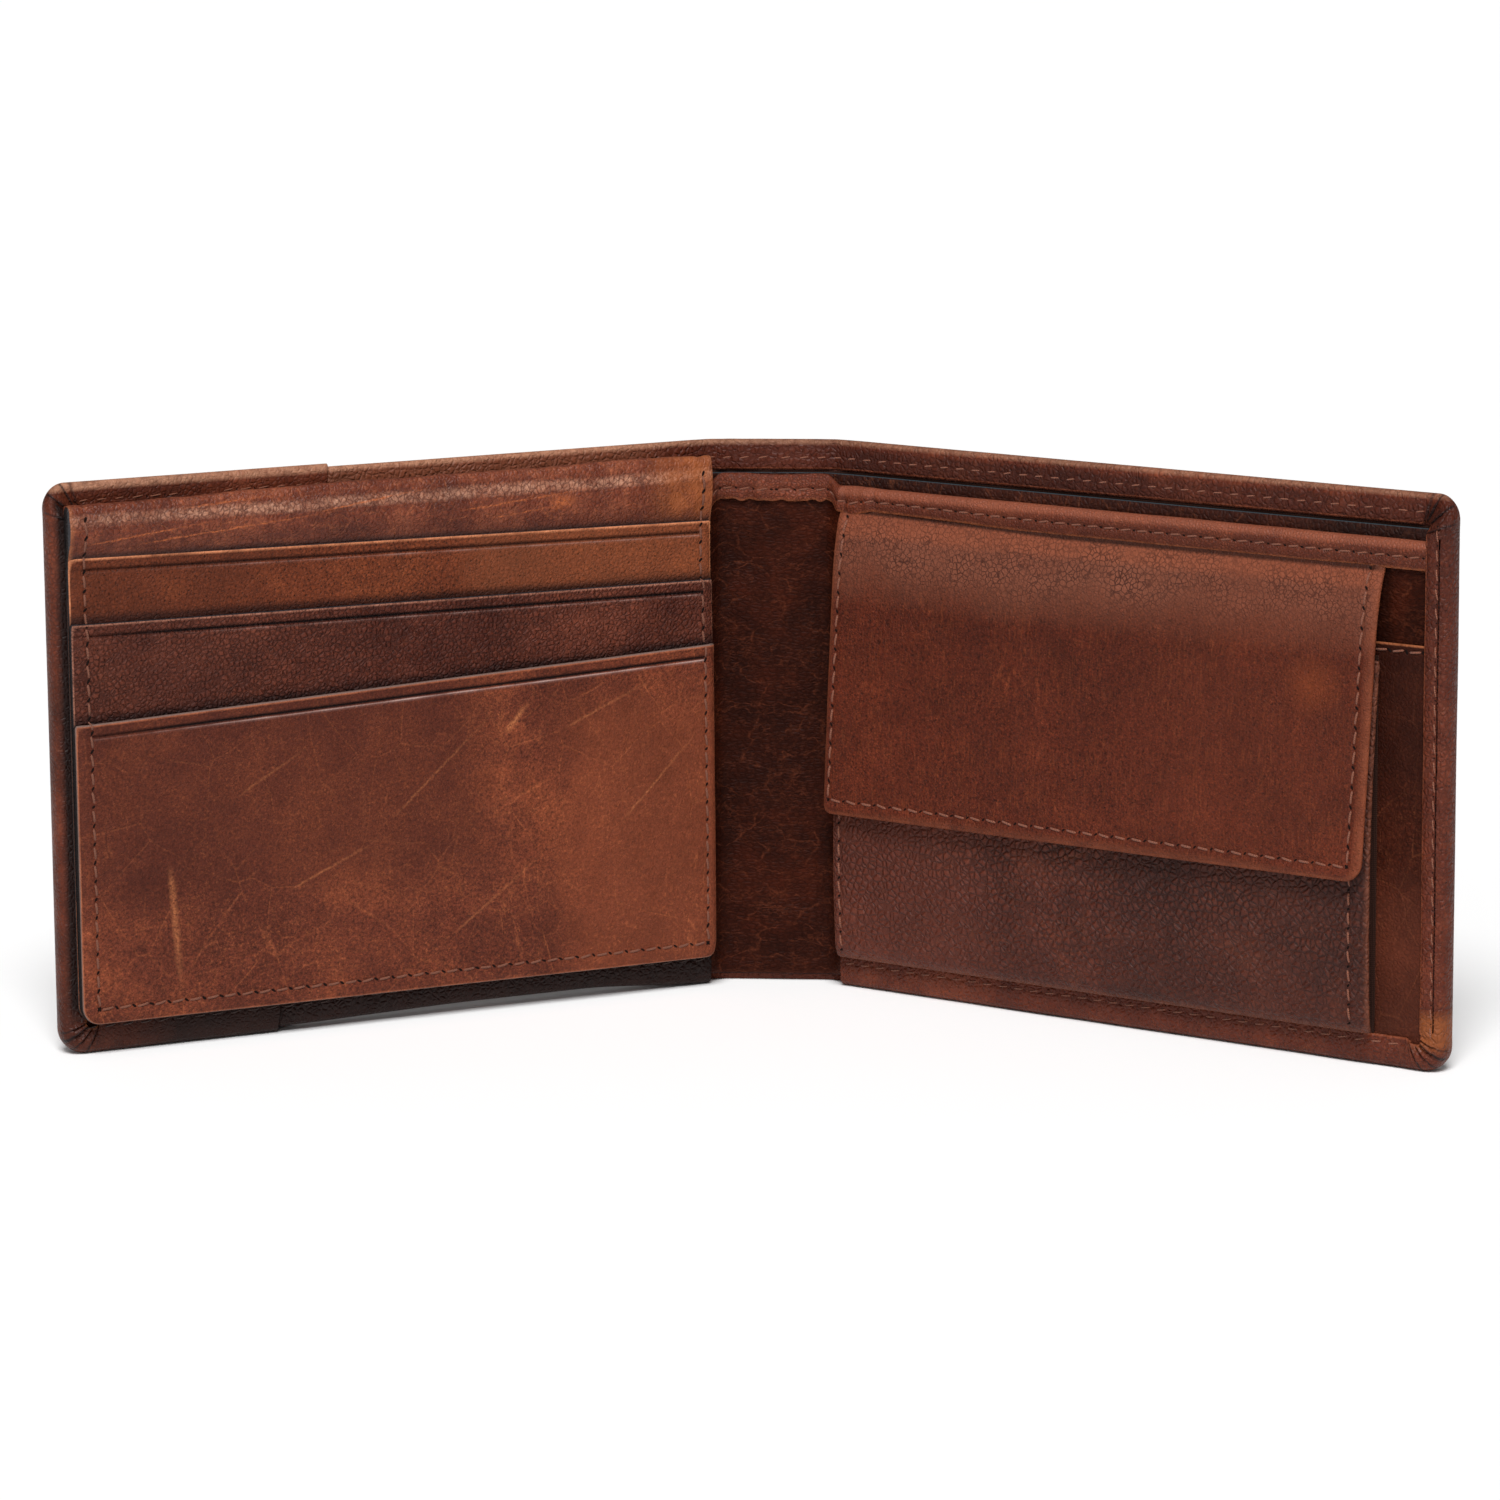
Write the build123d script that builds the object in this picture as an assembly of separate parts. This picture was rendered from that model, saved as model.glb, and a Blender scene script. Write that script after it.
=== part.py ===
from build123d import *
import os
from math import atan2, cos, degrees, radians, sin

# A bifold wallet standing on its long edge, half open. All sizes are in millimetres.
#
# Each wing is modelled flat and then put in its place: u runs along the wing from its fold
# line, z is height, and n is the layer, counted inwards from the middle of the cover leather.

# ---- driving dimensions ----
HEIGHT = 90.0            # cover, bottom edge to top edge
WING = 114.5             # fold line to the outer edge of a wing
SPINE_HALF = 10.5        # the spine is twice this wide, between its two fold lines
REST_FOLD = 30.0         # degrees each wing is folded in from flat
FOLD_Y = 31.02           # centres the part on the origin, front to back
CORNER = 4.0             # cover corners
FLAP_CORNER = 3.0        # corners of both flaps
END_STEP = 0.5           # how far the outer end of the left cover stands above the rest

# ---- the cover ----
COVER = (-0.5, 0.5)      # layer of the cover leather
WING_START = 0.6         # wing cover starts this far from the fold line
HEM = (0.5, 1.25)        # top edge of the cover, turned in
HEM_DEPTH = 5.0
BORDER_WALL = 1.0        # cover leather where it wraps the outer and bottom edges
BORDER_FRONT = (3.6, 4.1)
BORDER_WIDTH = 4.0       # on the outer side
BORDER_HEIGHT = 5.0      # along the bottom
BORDER_STITCH = 2.1      # seam to the outer side
SEAM_TOP = 67.0          # u of the slanted seam in the left cover, at the top edge
SEAM_BOTTOM = 78.7       # and at the bottom edge
SEAM_LAP = (-1.1, -0.5)  # layer of the end piece where it laps over the main piece
SEAM_LAP_WIDTH = 4.0

# ---- layers inside a wing ----
CONTENT_START = 1.9      # nothing inside a wing comes nearer to the fold line
CONTENT_END = WING - BORDER_WALL - 0.05
CONTENT_FLOOR = BORDER_WALL + 0.05
LINING = (0.55, 0.75)
DIVIDER = (1.05, 1.65)
INNER_LINING = (1.95, 2.15)
INNER = (2.2, 3.0)
INNER_TOP = 83.4
BINDING_BACK = (1.7, 1.9)
BINDING_FRONT = (3.05, 3.5)
BINDING_LOWER = 79.2
BINDING_TOP = 83.9
SLIP = (3.05, 3.55)
SLIP_TOP = 66.8

# ---- layers across the spine ----
SPINE_CONTENT = 8.6      # half width of everything inside the spine
SPINE_LINING = (0.55, 0.65)
SPINE_DIVIDER = (0.7, 0.95)
SPINE_INNER = (1.0, 1.4)
SPINE_BINDING = (1.45, 1.75)

# ---- card flap on the left wing ----
CARD_FLAP = (2.0, 112.2)         # u
CARD_FLAP_BOTTOM = 5.3
CARD_HINGE_Z, CARD_HINGE_N = 86.7, 5.85
ROLL_R = 1.6                     # the rolled top edge, round about the hinge line
CARD_BACKING = (4.25, 4.85)
SLOT_TOP = (5.25, 5.9)
SLOT_MIDDLE = (6.0, 6.65)
SLOT_FRONT = (6.75, 7.45)
# height of each edge at the spine end and at the outer end of the flap
ROLL_EDGE = (78.6, 80.5)
SLOT_TOP_EDGE = (78.3, 80.2)
SLOT_MIDDLE_EDGE = (68.4, 69.5)
SLOT_FRONT_EDGE = (57.9, 53.6)
CARD_STITCH = 2.6                # seam to flap edge

# ---- coin pocket on the right wing ----
COIN_FLAP = (1.9, 103.1)         # u
COIN_FLAP_LENGTH = 49.2
COIN_FLAP_TILT = 5.71            # degrees its lower edge stands out from the wing
COIN_HINGE_Z, COIN_HINGE_N = 79.0, 4.9
COIN_FLAP_HALF = 0.6             # half the thickness of the flap
COIN_STITCH = 2.3
COIN_FRONT = (2.9, 103.5)        # u
COIN_FRONT_SEAMS = (4.7, 99.6)   # u of its two side seams
FRONT_HINGE_Z, FRONT_HINGE_N = 6.0, 6.5
FRONT_TOP_Z, FRONT_TOP_N = 64.0, 4.6
FRONT_BOW = 1.45                 # how far the front panel bows out between those two
FRONT_HALF = 0.5
COIN_BACK = (3.65, 3.95)
COIN_BACK_TOP = 64.8
COIN_FLOOR_Z = (5.1, 5.4)
SNAP_U, SNAP_Z = 52.5, 42.0

# ---- sewing ----
THREAD = 0.4             # width of a seam's thread
THREAD_RISE = 0.1        # how far it stands off the leather
THREAD_GAP = 0.02

SIGN = {"left": -1, "spine": 1, "right": 1}
PLACES = {
    "left": Plane((-SPINE_HALF, FOLD_Y, 0),
                  x_dir=(cos(radians(REST_FOLD)), sin(radians(REST_FOLD)), 0),
                  z_dir=(sin(radians(REST_FOLD)), -cos(radians(REST_FOLD)), 0)),
    "spine": Plane((0, FOLD_Y, 0), x_dir=(1, 0, 0), z_dir=(0, -1, 0)),
    "right": Plane((SPINE_HALF, FOLD_Y, 0),
                   x_dir=(cos(radians(REST_FOLD)), -sin(radians(REST_FOLD)), 0),
                   z_dir=(-sin(radians(REST_FOLD)), -cos(radians(REST_FOLD)), 0)),
}


# ---- helpers: flat pieces in u, z and n ----
def slab(side, u, z, n):
    """A flat rectangle of material."""
    near, far = sorted((SIGN[side] * u[0], SIGN[side] * u[1]))
    return Pos(near, z[0], n[0]) * Box(far - near, z[1] - z[0], n[1] - n[0], align=(Align.MIN,) * 3)


def panel(side, points, n):
    """A flat piece with straight edges, from its corners as (u, z)."""
    corners = [(SIGN[side] * u, z) for u, z in points]
    return Pos(0, 0, n[0]) * extrude(make_face(Polyline(corners, close=True)), n[1] - n[0])


def rounded(side, u, z, n, radius, top=False, bottom=False, near=True):
    """A slab with its outer corners rounded at the top or bottom, and its near ones too."""
    shape = slab(side, u, z, n)
    ends = [SIGN[side] * u[1]] + ([SIGN[side] * u[0]] if near else [])
    heights = ([z[1]] if top else []) + ([z[0]] if bottom else [])
    chosen = [e for e in shape.edges().filter_by(Axis.Z)
              if any(abs(e.center().X - x) < 0.01 for x in ends)
              and any(abs(e.center().Y - h) < 0.01 for h in heights)]
    return fillet(chosen, radius)


def rod(side, u, z, n, radius):
    """A round bar along u."""
    near, far = sorted((SIGN[side] * u[0], SIGN[side] * u[1]))
    return Pos(near, z, n) * Rot(0, 90, 0) * Cylinder(radius, far - near, align=(Align.CENTER, Align.CENTER, Align.MIN))


def thread_on(n):
    """The layer of thread lying on a face at n."""
    return (n + THREAD_GAP, n + THREAD_GAP + THREAD_RISE)


def seam_along(side, u, z, n):
    """Thread along u at height z, on a face at n."""
    return slab(side, u, (z - THREAD / 2, z + THREAD / 2), thread_on(n))


def seam_up(side, u, z, n):
    """Thread up the height at u, on a face at n."""
    return slab(side, (u - THREAD / 2, u + THREAD / 2), z, thread_on(n))


def edge_height(edge, u):
    """Height of a slanted slot edge at u."""
    share = (u - CARD_FLAP[0]) / (CARD_FLAP[1] - CARD_FLAP[0])
    return edge[0] + share * (edge[1] - edge[0])


def seam_at(z):
    """u of the slanted cover seam at height z."""
    return SEAM_BOTTOM + (SEAM_TOP - SEAM_BOTTOM) * z / HEIGHT


# ---- cover ----
def turned_edges(side, top):
    """The cover's edges wrapped round the wing: outer side, bottom, and the hem at the top."""
    wall = (COVER[0], BORDER_FRONT[1])
    outline = rounded(side, (WING_START, WING), (0, top), wall, CORNER, top=True, bottom=True, near=False)
    strips = slab(side, (WING - BORDER_WALL, WING), (0, top), wall)
    strips += slab(side, (CONTENT_START, WING), (0, BORDER_WALL), wall)
    strips += slab(side, (WING - BORDER_WIDTH, WING), (0, top), BORDER_FRONT)
    strips += slab(side, (CONTENT_START, WING), (0, BORDER_HEIGHT), BORDER_FRONT)
    strips += slab(side, (WING_START, WING), (top - HEM_DEPTH, top), (COVER[0], HEM[1]))
    return outline, strips


def cover_right():
    """Right cover: one piece of leather with its edges turned in."""
    outline, strips = turned_edges("right", HEIGHT)
    sheet = slab("right", (WING_START, WING), (0, HEIGHT), COVER)
    return (sheet + strips) & outline


def cover_left():
    """Left cover from the spine to the slanted seam."""
    outline, strips = turned_edges("left", HEIGHT)
    sheet = slab("left", (WING_START, WING), (0, HEIGHT), COVER)
    deep = (-2.0, 6.0)
    part = panel("left", [(WING_START, 0), (seam_at(0) - 0.05, 0),
                          (seam_at(HEIGHT) - 0.05, HEIGHT), (WING_START, HEIGHT)], deep)
    return (sheet + strips) & outline & part


def cover_left_end():
    """Outer end of the left cover, lapped over the main piece along the seam."""
    top = HEIGHT + END_STEP
    outline, strips = turned_edges("left", top)
    sheet = slab("left", (WING_START, WING), (0, top), COVER)
    deep = (-2.0, 6.0)
    end = panel("left", [(seam_at(0) + 0.05, 0), (WING, 0), (WING, top), (seam_at(top) + 0.05, top)], deep)
    lap = panel("left", [(seam_at(0) - SEAM_LAP_WIDTH, 0), (seam_at(0) + 1.5, 0),
                         (seam_at(top) + 1.5, top), (seam_at(top) - SEAM_LAP_WIDTH, top)],
                (SEAM_LAP[0], COVER[0] - 0.05))
    bridge = panel("left", [(seam_at(0) + 0.05, 0), (seam_at(0) + 1.5, 0),
                            (seam_at(top) + 1.5, top), (seam_at(top) + 0.05, top)], SEAM_LAP)
    return ((sheet + strips) & outline & end) + lap + bridge


def cover_seam_thread():
    """Thread along the lap of the slanted seam, on the outside."""
    near, far = SEAM_LAP_WIDTH - 1.6, SEAM_LAP_WIDTH - 1.6 - THREAD
    return panel("left", [(seam_at(2) - near, 2), (seam_at(2) - far, 2),
                          (seam_at(HEIGHT - 2) - far, HEIGHT - 2), (seam_at(HEIGHT - 2) - near, HEIGHT - 2)],
                 (SEAM_LAP[0] - THREAD_GAP - THREAD_RISE, SEAM_LAP[0] - THREAD_GAP))


def cover_spine():
    """Spine of the cover, with a full round edge on each fold line."""
    half = (COVER[1] - COVER[0]) / 2
    shape = slab("spine", (-SPINE_HALF, SPINE_HALF), (0, HEIGHT), COVER)
    for x in (-SPINE_HALF, SPINE_HALF):
        shape += Pos(x, HEIGHT / 2, 0) * Rot(90, 0, 0) * Cylinder(half, HEIGHT)
    return shape + slab("spine", (-SPINE_CONTENT, SPINE_CONTENT), (HEIGHT - HEM_DEPTH, HEIGHT), (0, HEM[1]))


def border_thread(side):
    """Thread along the turned edge: down the outer side and along the bottom."""
    u = WING - BORDER_STITCH
    down = seam_up(side, u, (3.8, HEIGHT - 4.5), BORDER_FRONT[1])
    along = seam_along(side, (CONTENT_START + 0.6, u + THREAD / 2), 4.0, BORDER_FRONT[1])
    return down + along


def cover_top_thread(side):
    """Thread along the turned top edge."""
    span = (-SPINE_CONTENT, SPINE_CONTENT) if side == "spine" else (WING_START + 0.3, WING - BORDER_WIDTH - 0.2)
    return seam_along(side, span, HEIGHT - 2.9, HEM[1])


# ---- sheets inside the wings and the spine ----
def wing_sheet(side, layer, top):
    """A full sheet inside a wing."""
    return slab(side, (CONTENT_START, CONTENT_END), (CONTENT_FLOOR, top), layer)


def spine_sheet(layer, bottom, top):
    """A sheet across the spine."""
    return slab("spine", (-SPINE_CONTENT, SPINE_CONTENT), (bottom, top), layer)


def inner_binding(side):
    """Strip folded over the top edge of the inner panel."""
    u = (CONTENT_START, CONTENT_END)
    front = slab(side, u, (BINDING_LOWER, BINDING_TOP), BINDING_FRONT)
    cap = slab(side, u, (INNER_TOP + 0.05, BINDING_TOP), (BINDING_BACK[0], BINDING_FRONT[1]))
    back = slab(side, u, (BINDING_LOWER + 1, BINDING_TOP), BINDING_BACK)
    return front + cap + back


def inner_top_thread(side):
    """Thread along the binding."""
    if side == "spine":
        return slab("spine", (-SPINE_CONTENT, SPINE_CONTENT), (82.3, 82.3 + THREAD), thread_on(SPINE_BINDING[1] - 0.01))
    return seam_along(side, (CONTENT_START + 0.3, WING - BORDER_WIDTH - 0.3), 81.3, BINDING_FRONT[1])


# ---- card flap ----
def card_flap_shape(top, n):
    """The flap's own outline, up to a given height, through layers n."""
    return rounded("left", CARD_FLAP, (CARD_FLAP_BOTTOM, top), n, FLAP_CORNER, bottom=True)


def slot_panel(edge, bottom, layer):
    """One card slot's leather, from its slanted mouth down to its bottom."""
    shape = panel("left", [(CARD_FLAP[0], bottom), (CARD_FLAP[1], bottom),
                           (CARD_FLAP[1], edge[1]), (CARD_FLAP[0], edge[0])], layer)
    return shape & card_flap_shape(CARD_HINGE_Z, layer)


def card_flap_leather():
    """Backing of the flap and its rolled top edge, in one piece."""
    roll_layer = (CARD_HINGE_N - ROLL_R, CARD_HINGE_N + ROLL_R)
    backing = card_flap_shape(CARD_HINGE_Z, CARD_BACKING)
    roll = panel("left", [(CARD_FLAP[0], ROLL_EDGE[0]), (CARD_FLAP[1], ROLL_EDGE[1]),
                          (CARD_FLAP[1], CARD_HINGE_Z), (CARD_FLAP[0], CARD_HINGE_Z)], roll_layer)
    return backing + roll + rod("left", CARD_FLAP, CARD_HINGE_Z, CARD_HINGE_N, ROLL_R)


def card_flap_tab():
    """Strip on the inner panel's top edge that the flap's roll grows out of."""
    return slab("left", CARD_FLAP, (BINDING_TOP + 0.05, CARD_HINGE_Z - 0.2), (INNER[0], BINDING_FRONT[1]))


def card_flap_thread():
    """Thread down both sides of the flap and along its bottom, stepping over each slot's edge."""
    low = CARD_FLAP_BOTTOM + CARD_STITCH
    shape = seam_along("left", (CARD_FLAP[0] + CARD_STITCH, CARD_FLAP[1] - CARD_STITCH), low, SLOT_FRONT[1])
    steps = [(SLOT_FRONT_EDGE, SLOT_FRONT[1], SLOT_MIDDLE[1]),
             (SLOT_MIDDLE_EDGE, SLOT_MIDDLE[1], SLOT_TOP[1]),
             (SLOT_TOP_EDGE, SLOT_TOP[1], None)]
    for u in (CARD_FLAP[0] + CARD_STITCH, CARD_FLAP[1] - CARD_STITCH):
        start = low - THREAD / 2
        for edge, face, below in steps:
            stop = max(edge_height(edge, u - THREAD), edge_height(edge, u + THREAD)) + 0.15
            if below is None:
                shape += seam_up("left", u, (start, stop - 0.5), face)
                continue
            shape += seam_up("left", u, (start, stop + 0.2), face)
            shape += slab("left", (u - THREAD / 2, u + THREAD / 2), (stop, stop + 0.2),
                          (below + THREAD_GAP, face + THREAD_GAP + THREAD_RISE))
            start = stop
    return shape


# ---- coin pocket ----
def tilted(shape):
    """Swings a piece made hanging straight down from the coin flap's hinge out to its tilt."""
    hinge = Pos(0, COIN_HINGE_Z, COIN_HINGE_N)
    return hinge * Rot(-COIN_FLAP_TILT, 0, 0) * hinge.inverse() * shape


def coin_flap_leather():
    """Outer leather of the coin flap, with a full round edge on its hinge line."""
    outer = (COIN_HINGE_N - 0.15, COIN_HINGE_N + COIN_FLAP_HALF)
    sheet = rounded("right", COIN_FLAP, (COIN_HINGE_Z - COIN_FLAP_LENGTH, COIN_HINGE_Z), outer,
                    FLAP_CORNER, bottom=True)
    return tilted(sheet + rod("right", COIN_FLAP, COIN_HINGE_Z, COIN_HINGE_N, COIN_FLAP_HALF))


def snap_axis_on_flap():
    """Where the snap crosses the flap's middle, with the flap hanging straight."""
    return Pos(SNAP_U, COIN_HINGE_Z - (COIN_HINGE_Z - SNAP_Z) / cos(radians(COIN_FLAP_TILT)), COIN_HINGE_N)


def coin_flap_lining():
    """Lining of the coin flap, with a hole for the snap's socket."""
    layer = (COIN_HINGE_N - COIN_FLAP_HALF, COIN_HINGE_N - 0.2)
    sheet = rounded("right", (COIN_FLAP[0] + 0.6, COIN_FLAP[1] - 0.6),
                    (COIN_HINGE_Z - COIN_FLAP_LENGTH + 0.6, COIN_HINGE_Z - 0.8), layer, FLAP_CORNER, bottom=True)
    return tilted(sheet - snap_axis_on_flap() * Cylinder(5.1, 4))


def snap_socket():
    """Socket half of the press stud, set in the flap's lining and hidden by its leather."""
    low, high = -COIN_FLAP_HALF - 0.2, -0.2
    ring = Pos(0, 0, low) * Cylinder(5.0, high - low, align=(Align.CENTER, Align.CENTER, Align.MIN))
    hole = Pos(0, 0, low) * Cylinder(2.1, 0.45, align=(Align.CENTER, Align.CENTER, Align.MIN))
    return tilted(snap_axis_on_flap() * (ring - hole))


def coin_flap_thread():
    """Thread down both sides of the coin flap and along its bottom."""
    bottom = COIN_HINGE_Z - COIN_FLAP_LENGTH + COIN_STITCH
    face = COIN_HINGE_N + COIN_FLAP_HALF
    near, far = COIN_FLAP[0] + COIN_STITCH, COIN_FLAP[1] - COIN_STITCH
    shape = seam_along("right", (near, far), bottom, face)
    for u in (near, far):
        shape += seam_up("right", u, (bottom - THREAD / 2, COIN_HINGE_Z - 1.5), face)
    return tilted(shape)


def coin_flap_tab():
    """Strip on the inner panel that the coin flap grows out of, below the binding."""
    return slab("right", COIN_FLAP, (71.0, BINDING_LOWER - 0.1), (BINDING_FRONT[0], BINDING_FRONT[1]))


def bowed(u, inner, outer):
    """Part of the pocket front's thickness: a sheet bowed from its hinge line to its mouth."""
    middle_z, middle_n = (FRONT_HINGE_Z + FRONT_TOP_Z) / 2, (FRONT_HINGE_N + FRONT_TOP_N) / 2 + FRONT_BOW
    profile = Plane.YZ * make_face([
        ThreePointArc((FRONT_HINGE_Z, FRONT_HINGE_N + inner), (middle_z, middle_n + inner),
                      (FRONT_TOP_Z, FRONT_TOP_N + inner)),
        Line((FRONT_TOP_Z, FRONT_TOP_N + inner), (FRONT_TOP_Z, FRONT_TOP_N + outer)),
        ThreePointArc((FRONT_TOP_Z, FRONT_TOP_N + outer), (middle_z, middle_n + outer),
                      (FRONT_HINGE_Z, FRONT_HINGE_N + outer)),
        Line((FRONT_HINGE_Z, FRONT_HINGE_N + outer), (FRONT_HINGE_Z, FRONT_HINGE_N + inner)),
    ])
    return Pos(u[0], 0, 0) * extrude(profile, u[1] - u[0], dir=(1, 0, 0))


def front_middle(z):
    """n of the middle of the pocket front at height z, close to its arc."""
    share = (z - FRONT_HINGE_Z) / (FRONT_TOP_Z - FRONT_HINGE_Z)
    return FRONT_HINGE_N + share * (FRONT_TOP_N - FRONT_HINGE_N) + 4 * FRONT_BOW * share * (1 - share)


def snap_plane():
    """A frame on the pocket front at the snap, its third axis square to the leather."""
    slope = (front_middle(SNAP_Z + 1) - front_middle(SNAP_Z - 1)) / 2
    lean = degrees(atan2(slope, 1))
    return Pos(SNAP_U, SNAP_Z, front_middle(SNAP_Z)) * Rot(lean, 0, 0)


def coin_pocket_front():
    """Front panel of the coin pocket, with a full round bottom edge and a hole for the snap."""
    shape = bowed(COIN_FRONT, -FRONT_HALF, FRONT_HALF)
    shape += rod("right", COIN_FRONT, FRONT_HINGE_Z, FRONT_HINGE_N, FRONT_HALF)
    return shape - snap_plane() * Cylinder(1.25, 4)


def snap_stud():
    """Stud half of the press stud, on the outside of the pocket front."""
    base = FRONT_HALF + 0.03
    flange = Pos(0, 0, base) * Cylinder(3.6, 0.28, align=(Align.CENTER, Align.CENTER, Align.MIN))
    ball = Pos(0, 0, base) * Cylinder(1.75, 0.92, align=(Align.CENTER, Align.CENTER, Align.MIN))
    ball = fillet(ball.edges().sort_by(Axis.Z)[-1], 0.3)
    return snap_plane() * (flange + ball)


def snap_post():
    """Disc and post that rivet the stud through the pocket front."""
    back = FRONT_HALF + 0.03
    disc = Pos(0, 0, -back) * Cylinder(3.6, 0.28, align=(Align.CENTER, Align.CENTER, Align.MAX))
    post = Pos(0, 0, -back) * Cylinder(1.2, 2 * FRONT_HALF + 0.04, align=(Align.CENTER, Align.CENTER, Align.MIN))
    return snap_plane() * (disc + post)


def coin_pocket_back():
    """Back of the coin pocket and the narrow floor that meets the front panel."""
    u = (COIN_FRONT[0], COIN_FRONT[1] - 1)
    sheet = slab("right", u, (COIN_FLOOR_Z[0], COIN_BACK_TOP), COIN_BACK)
    return sheet + slab("right", u, COIN_FLOOR_Z, (COIN_BACK[0], FRONT_HINGE_N - FRONT_HALF - 0.1))


def coin_gusset(outer, inward):
    """Folded side of the coin pocket: a V that opens outwards. inward is +1 or -1 along u."""
    low, high, thick, depth = COIN_BACK[1] + 0.05, 5.3, 0.35, 4.5
    middle = (low + high) / 2
    tip = outer + inward * depth
    points = [(outer, low), (tip, middle), (outer, high), (outer, high - thick),
              (tip - inward * 3 * thick, middle), (outer, low + thick)]
    profile = make_face(Polyline([(u, -n) for u, n in points], close=True))
    return Pos(0, 8, 0) * Rot(-90, 0, 0) * extrude(profile, 42)


def coin_pocket_thread(u):
    """One side seam of the pocket front."""
    strip = bowed((u - THREAD / 2, u + THREAD / 2), FRONT_HALF + THREAD_GAP, FRONT_HALF + THREAD_GAP + THREAD_RISE)
    return strip & slab("right", COIN_FRONT, (8, 61), (0, 12))


# ---- everything, by the wing it is sewn to ----
PIECES = {
    "spine": {
        "cover_spine": cover_spine(),
        "cover_lining_spine": spine_sheet(SPINE_LINING, 1.0, HEIGHT - HEM_DEPTH - 0.1),
        "note_divider_spine": spine_sheet(SPINE_DIVIDER, 1.0, 84.6),
        "inner_panel_spine": spine_sheet(SPINE_INNER, 2.2, 84.3),
        "inner_binding_spine": spine_sheet(SPINE_BINDING, 80.0, 84.7),
        "cover_top_thread_spine": cover_top_thread("spine"),
        "inner_top_thread_spine": inner_top_thread("spine"),
    },
    "left": {
        "cover_left": cover_left(),
        "cover_left_end": cover_left_end(),
        "cover_seam_thread": cover_seam_thread(),
        "card_flap_tab": card_flap_tab(),
        "card_flap_leather": card_flap_leather(),
        "card_slot_top": slot_panel(SLOT_TOP_EDGE, 24.0, SLOT_TOP),
        "card_slot_middle": slot_panel(SLOT_MIDDLE_EDGE, 14.5, SLOT_MIDDLE),
        "card_slot_front": slot_panel(SLOT_FRONT_EDGE, CARD_FLAP_BOTTOM, SLOT_FRONT),
        "card_flap_thread": card_flap_thread(),
    },
    "right": {
        "cover_right": cover_right(),
        "slip_pocket": wing_sheet("right", SLIP, SLIP_TOP),
        "slip_pocket_thread": seam_along("right", (CONTENT_START + 0.5, WING - BORDER_WIDTH - 0.3),
                                         SLIP_TOP - 1.2, SLIP[1]),
        "coin_pocket_back": coin_pocket_back(),
        "coin_gusset_inner": coin_gusset(COIN_FRONT[0] + 0.2, 1),
        "coin_gusset_outer": coin_gusset(COIN_FRONT[1] - 1.2, -1),
        "coin_pocket_front": coin_pocket_front(),
        "coin_pocket_thread_inner": coin_pocket_thread(COIN_FRONT_SEAMS[0]),
        "coin_pocket_thread_outer": coin_pocket_thread(COIN_FRONT_SEAMS[1]),
        "snap_stud": snap_stud(),
        "snap_post": snap_post(),
        "coin_flap_tab": coin_flap_tab(),
        "coin_flap_leather": coin_flap_leather(),
        "coin_flap_lining": coin_flap_lining(),
        "snap_socket": snap_socket(),
        "coin_flap_thread": coin_flap_thread(),
    },
}
for side in ("left", "right"):
    PIECES[side].update({
        f"cover_lining_{side}": wing_sheet(side, LINING, HEIGHT - HEM_DEPTH - 0.1),
        f"note_divider_{side}": wing_sheet(side, DIVIDER, 84.6),
        f"inner_lining_{side}": wing_sheet(side, INNER_LINING, INNER_TOP - 0.4),
        f"inner_panel_{side}": wing_sheet(side, INNER, INNER_TOP),
        f"inner_binding_{side}": inner_binding(side),
        f"border_thread_{side}": border_thread(side),
        f"cover_top_thread_{side}": cover_top_thread(side),
        f"inner_top_thread_{side}": inner_top_thread(side),
    })

os.makedirs("parts", exist_ok=True)
for side, pieces in PIECES.items():
    for name, shape in pieces.items():
        export_step(PLACES[side].location * shape, f"parts/{name}.step")
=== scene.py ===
"""Looks of the bifold wallet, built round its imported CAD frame.

Every sheet is laid out in the CAD's own terms, in millimetres: u runs out along a wing from its fold
line (below zero it is in the spine, whose middle is at u = -SPINE_HALF), z is height, and n is the
layer, counted inwards from the middle of the cover leather. place() bends that layout round the fold
and gives metres in the row frame.
"""
from math import atan2, cos, pi, radians, sin, sqrt

import bmesh
import bpy
import numpy as np
from mathutils import Matrix, Vector


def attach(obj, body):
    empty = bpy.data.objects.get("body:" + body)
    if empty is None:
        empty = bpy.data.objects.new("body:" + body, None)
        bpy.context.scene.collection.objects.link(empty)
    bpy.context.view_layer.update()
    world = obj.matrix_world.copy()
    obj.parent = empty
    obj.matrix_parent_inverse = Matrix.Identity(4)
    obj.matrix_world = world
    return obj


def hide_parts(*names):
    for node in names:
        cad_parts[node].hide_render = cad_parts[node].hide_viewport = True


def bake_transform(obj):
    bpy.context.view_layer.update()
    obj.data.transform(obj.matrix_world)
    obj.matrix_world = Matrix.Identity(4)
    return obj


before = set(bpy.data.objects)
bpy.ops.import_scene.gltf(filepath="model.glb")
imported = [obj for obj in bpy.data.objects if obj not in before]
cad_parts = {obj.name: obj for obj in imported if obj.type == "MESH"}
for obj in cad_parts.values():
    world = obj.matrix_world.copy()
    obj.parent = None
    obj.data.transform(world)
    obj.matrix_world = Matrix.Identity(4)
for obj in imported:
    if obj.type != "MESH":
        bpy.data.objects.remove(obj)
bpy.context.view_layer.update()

# ---- layout, in millimetres, as the CAD has it ----
HEIGHT, WING, SPINE_HALF, FOLD_Y, FOLD = 90.0, 114.5, 10.5, 31.02, radians(30)
BEND = 4.0                     # the leather bends over this far each side of a fold line
SPINE_MID = -SPINE_HALF
CORNER, END_STEP = 4.0, 0.5
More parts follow.
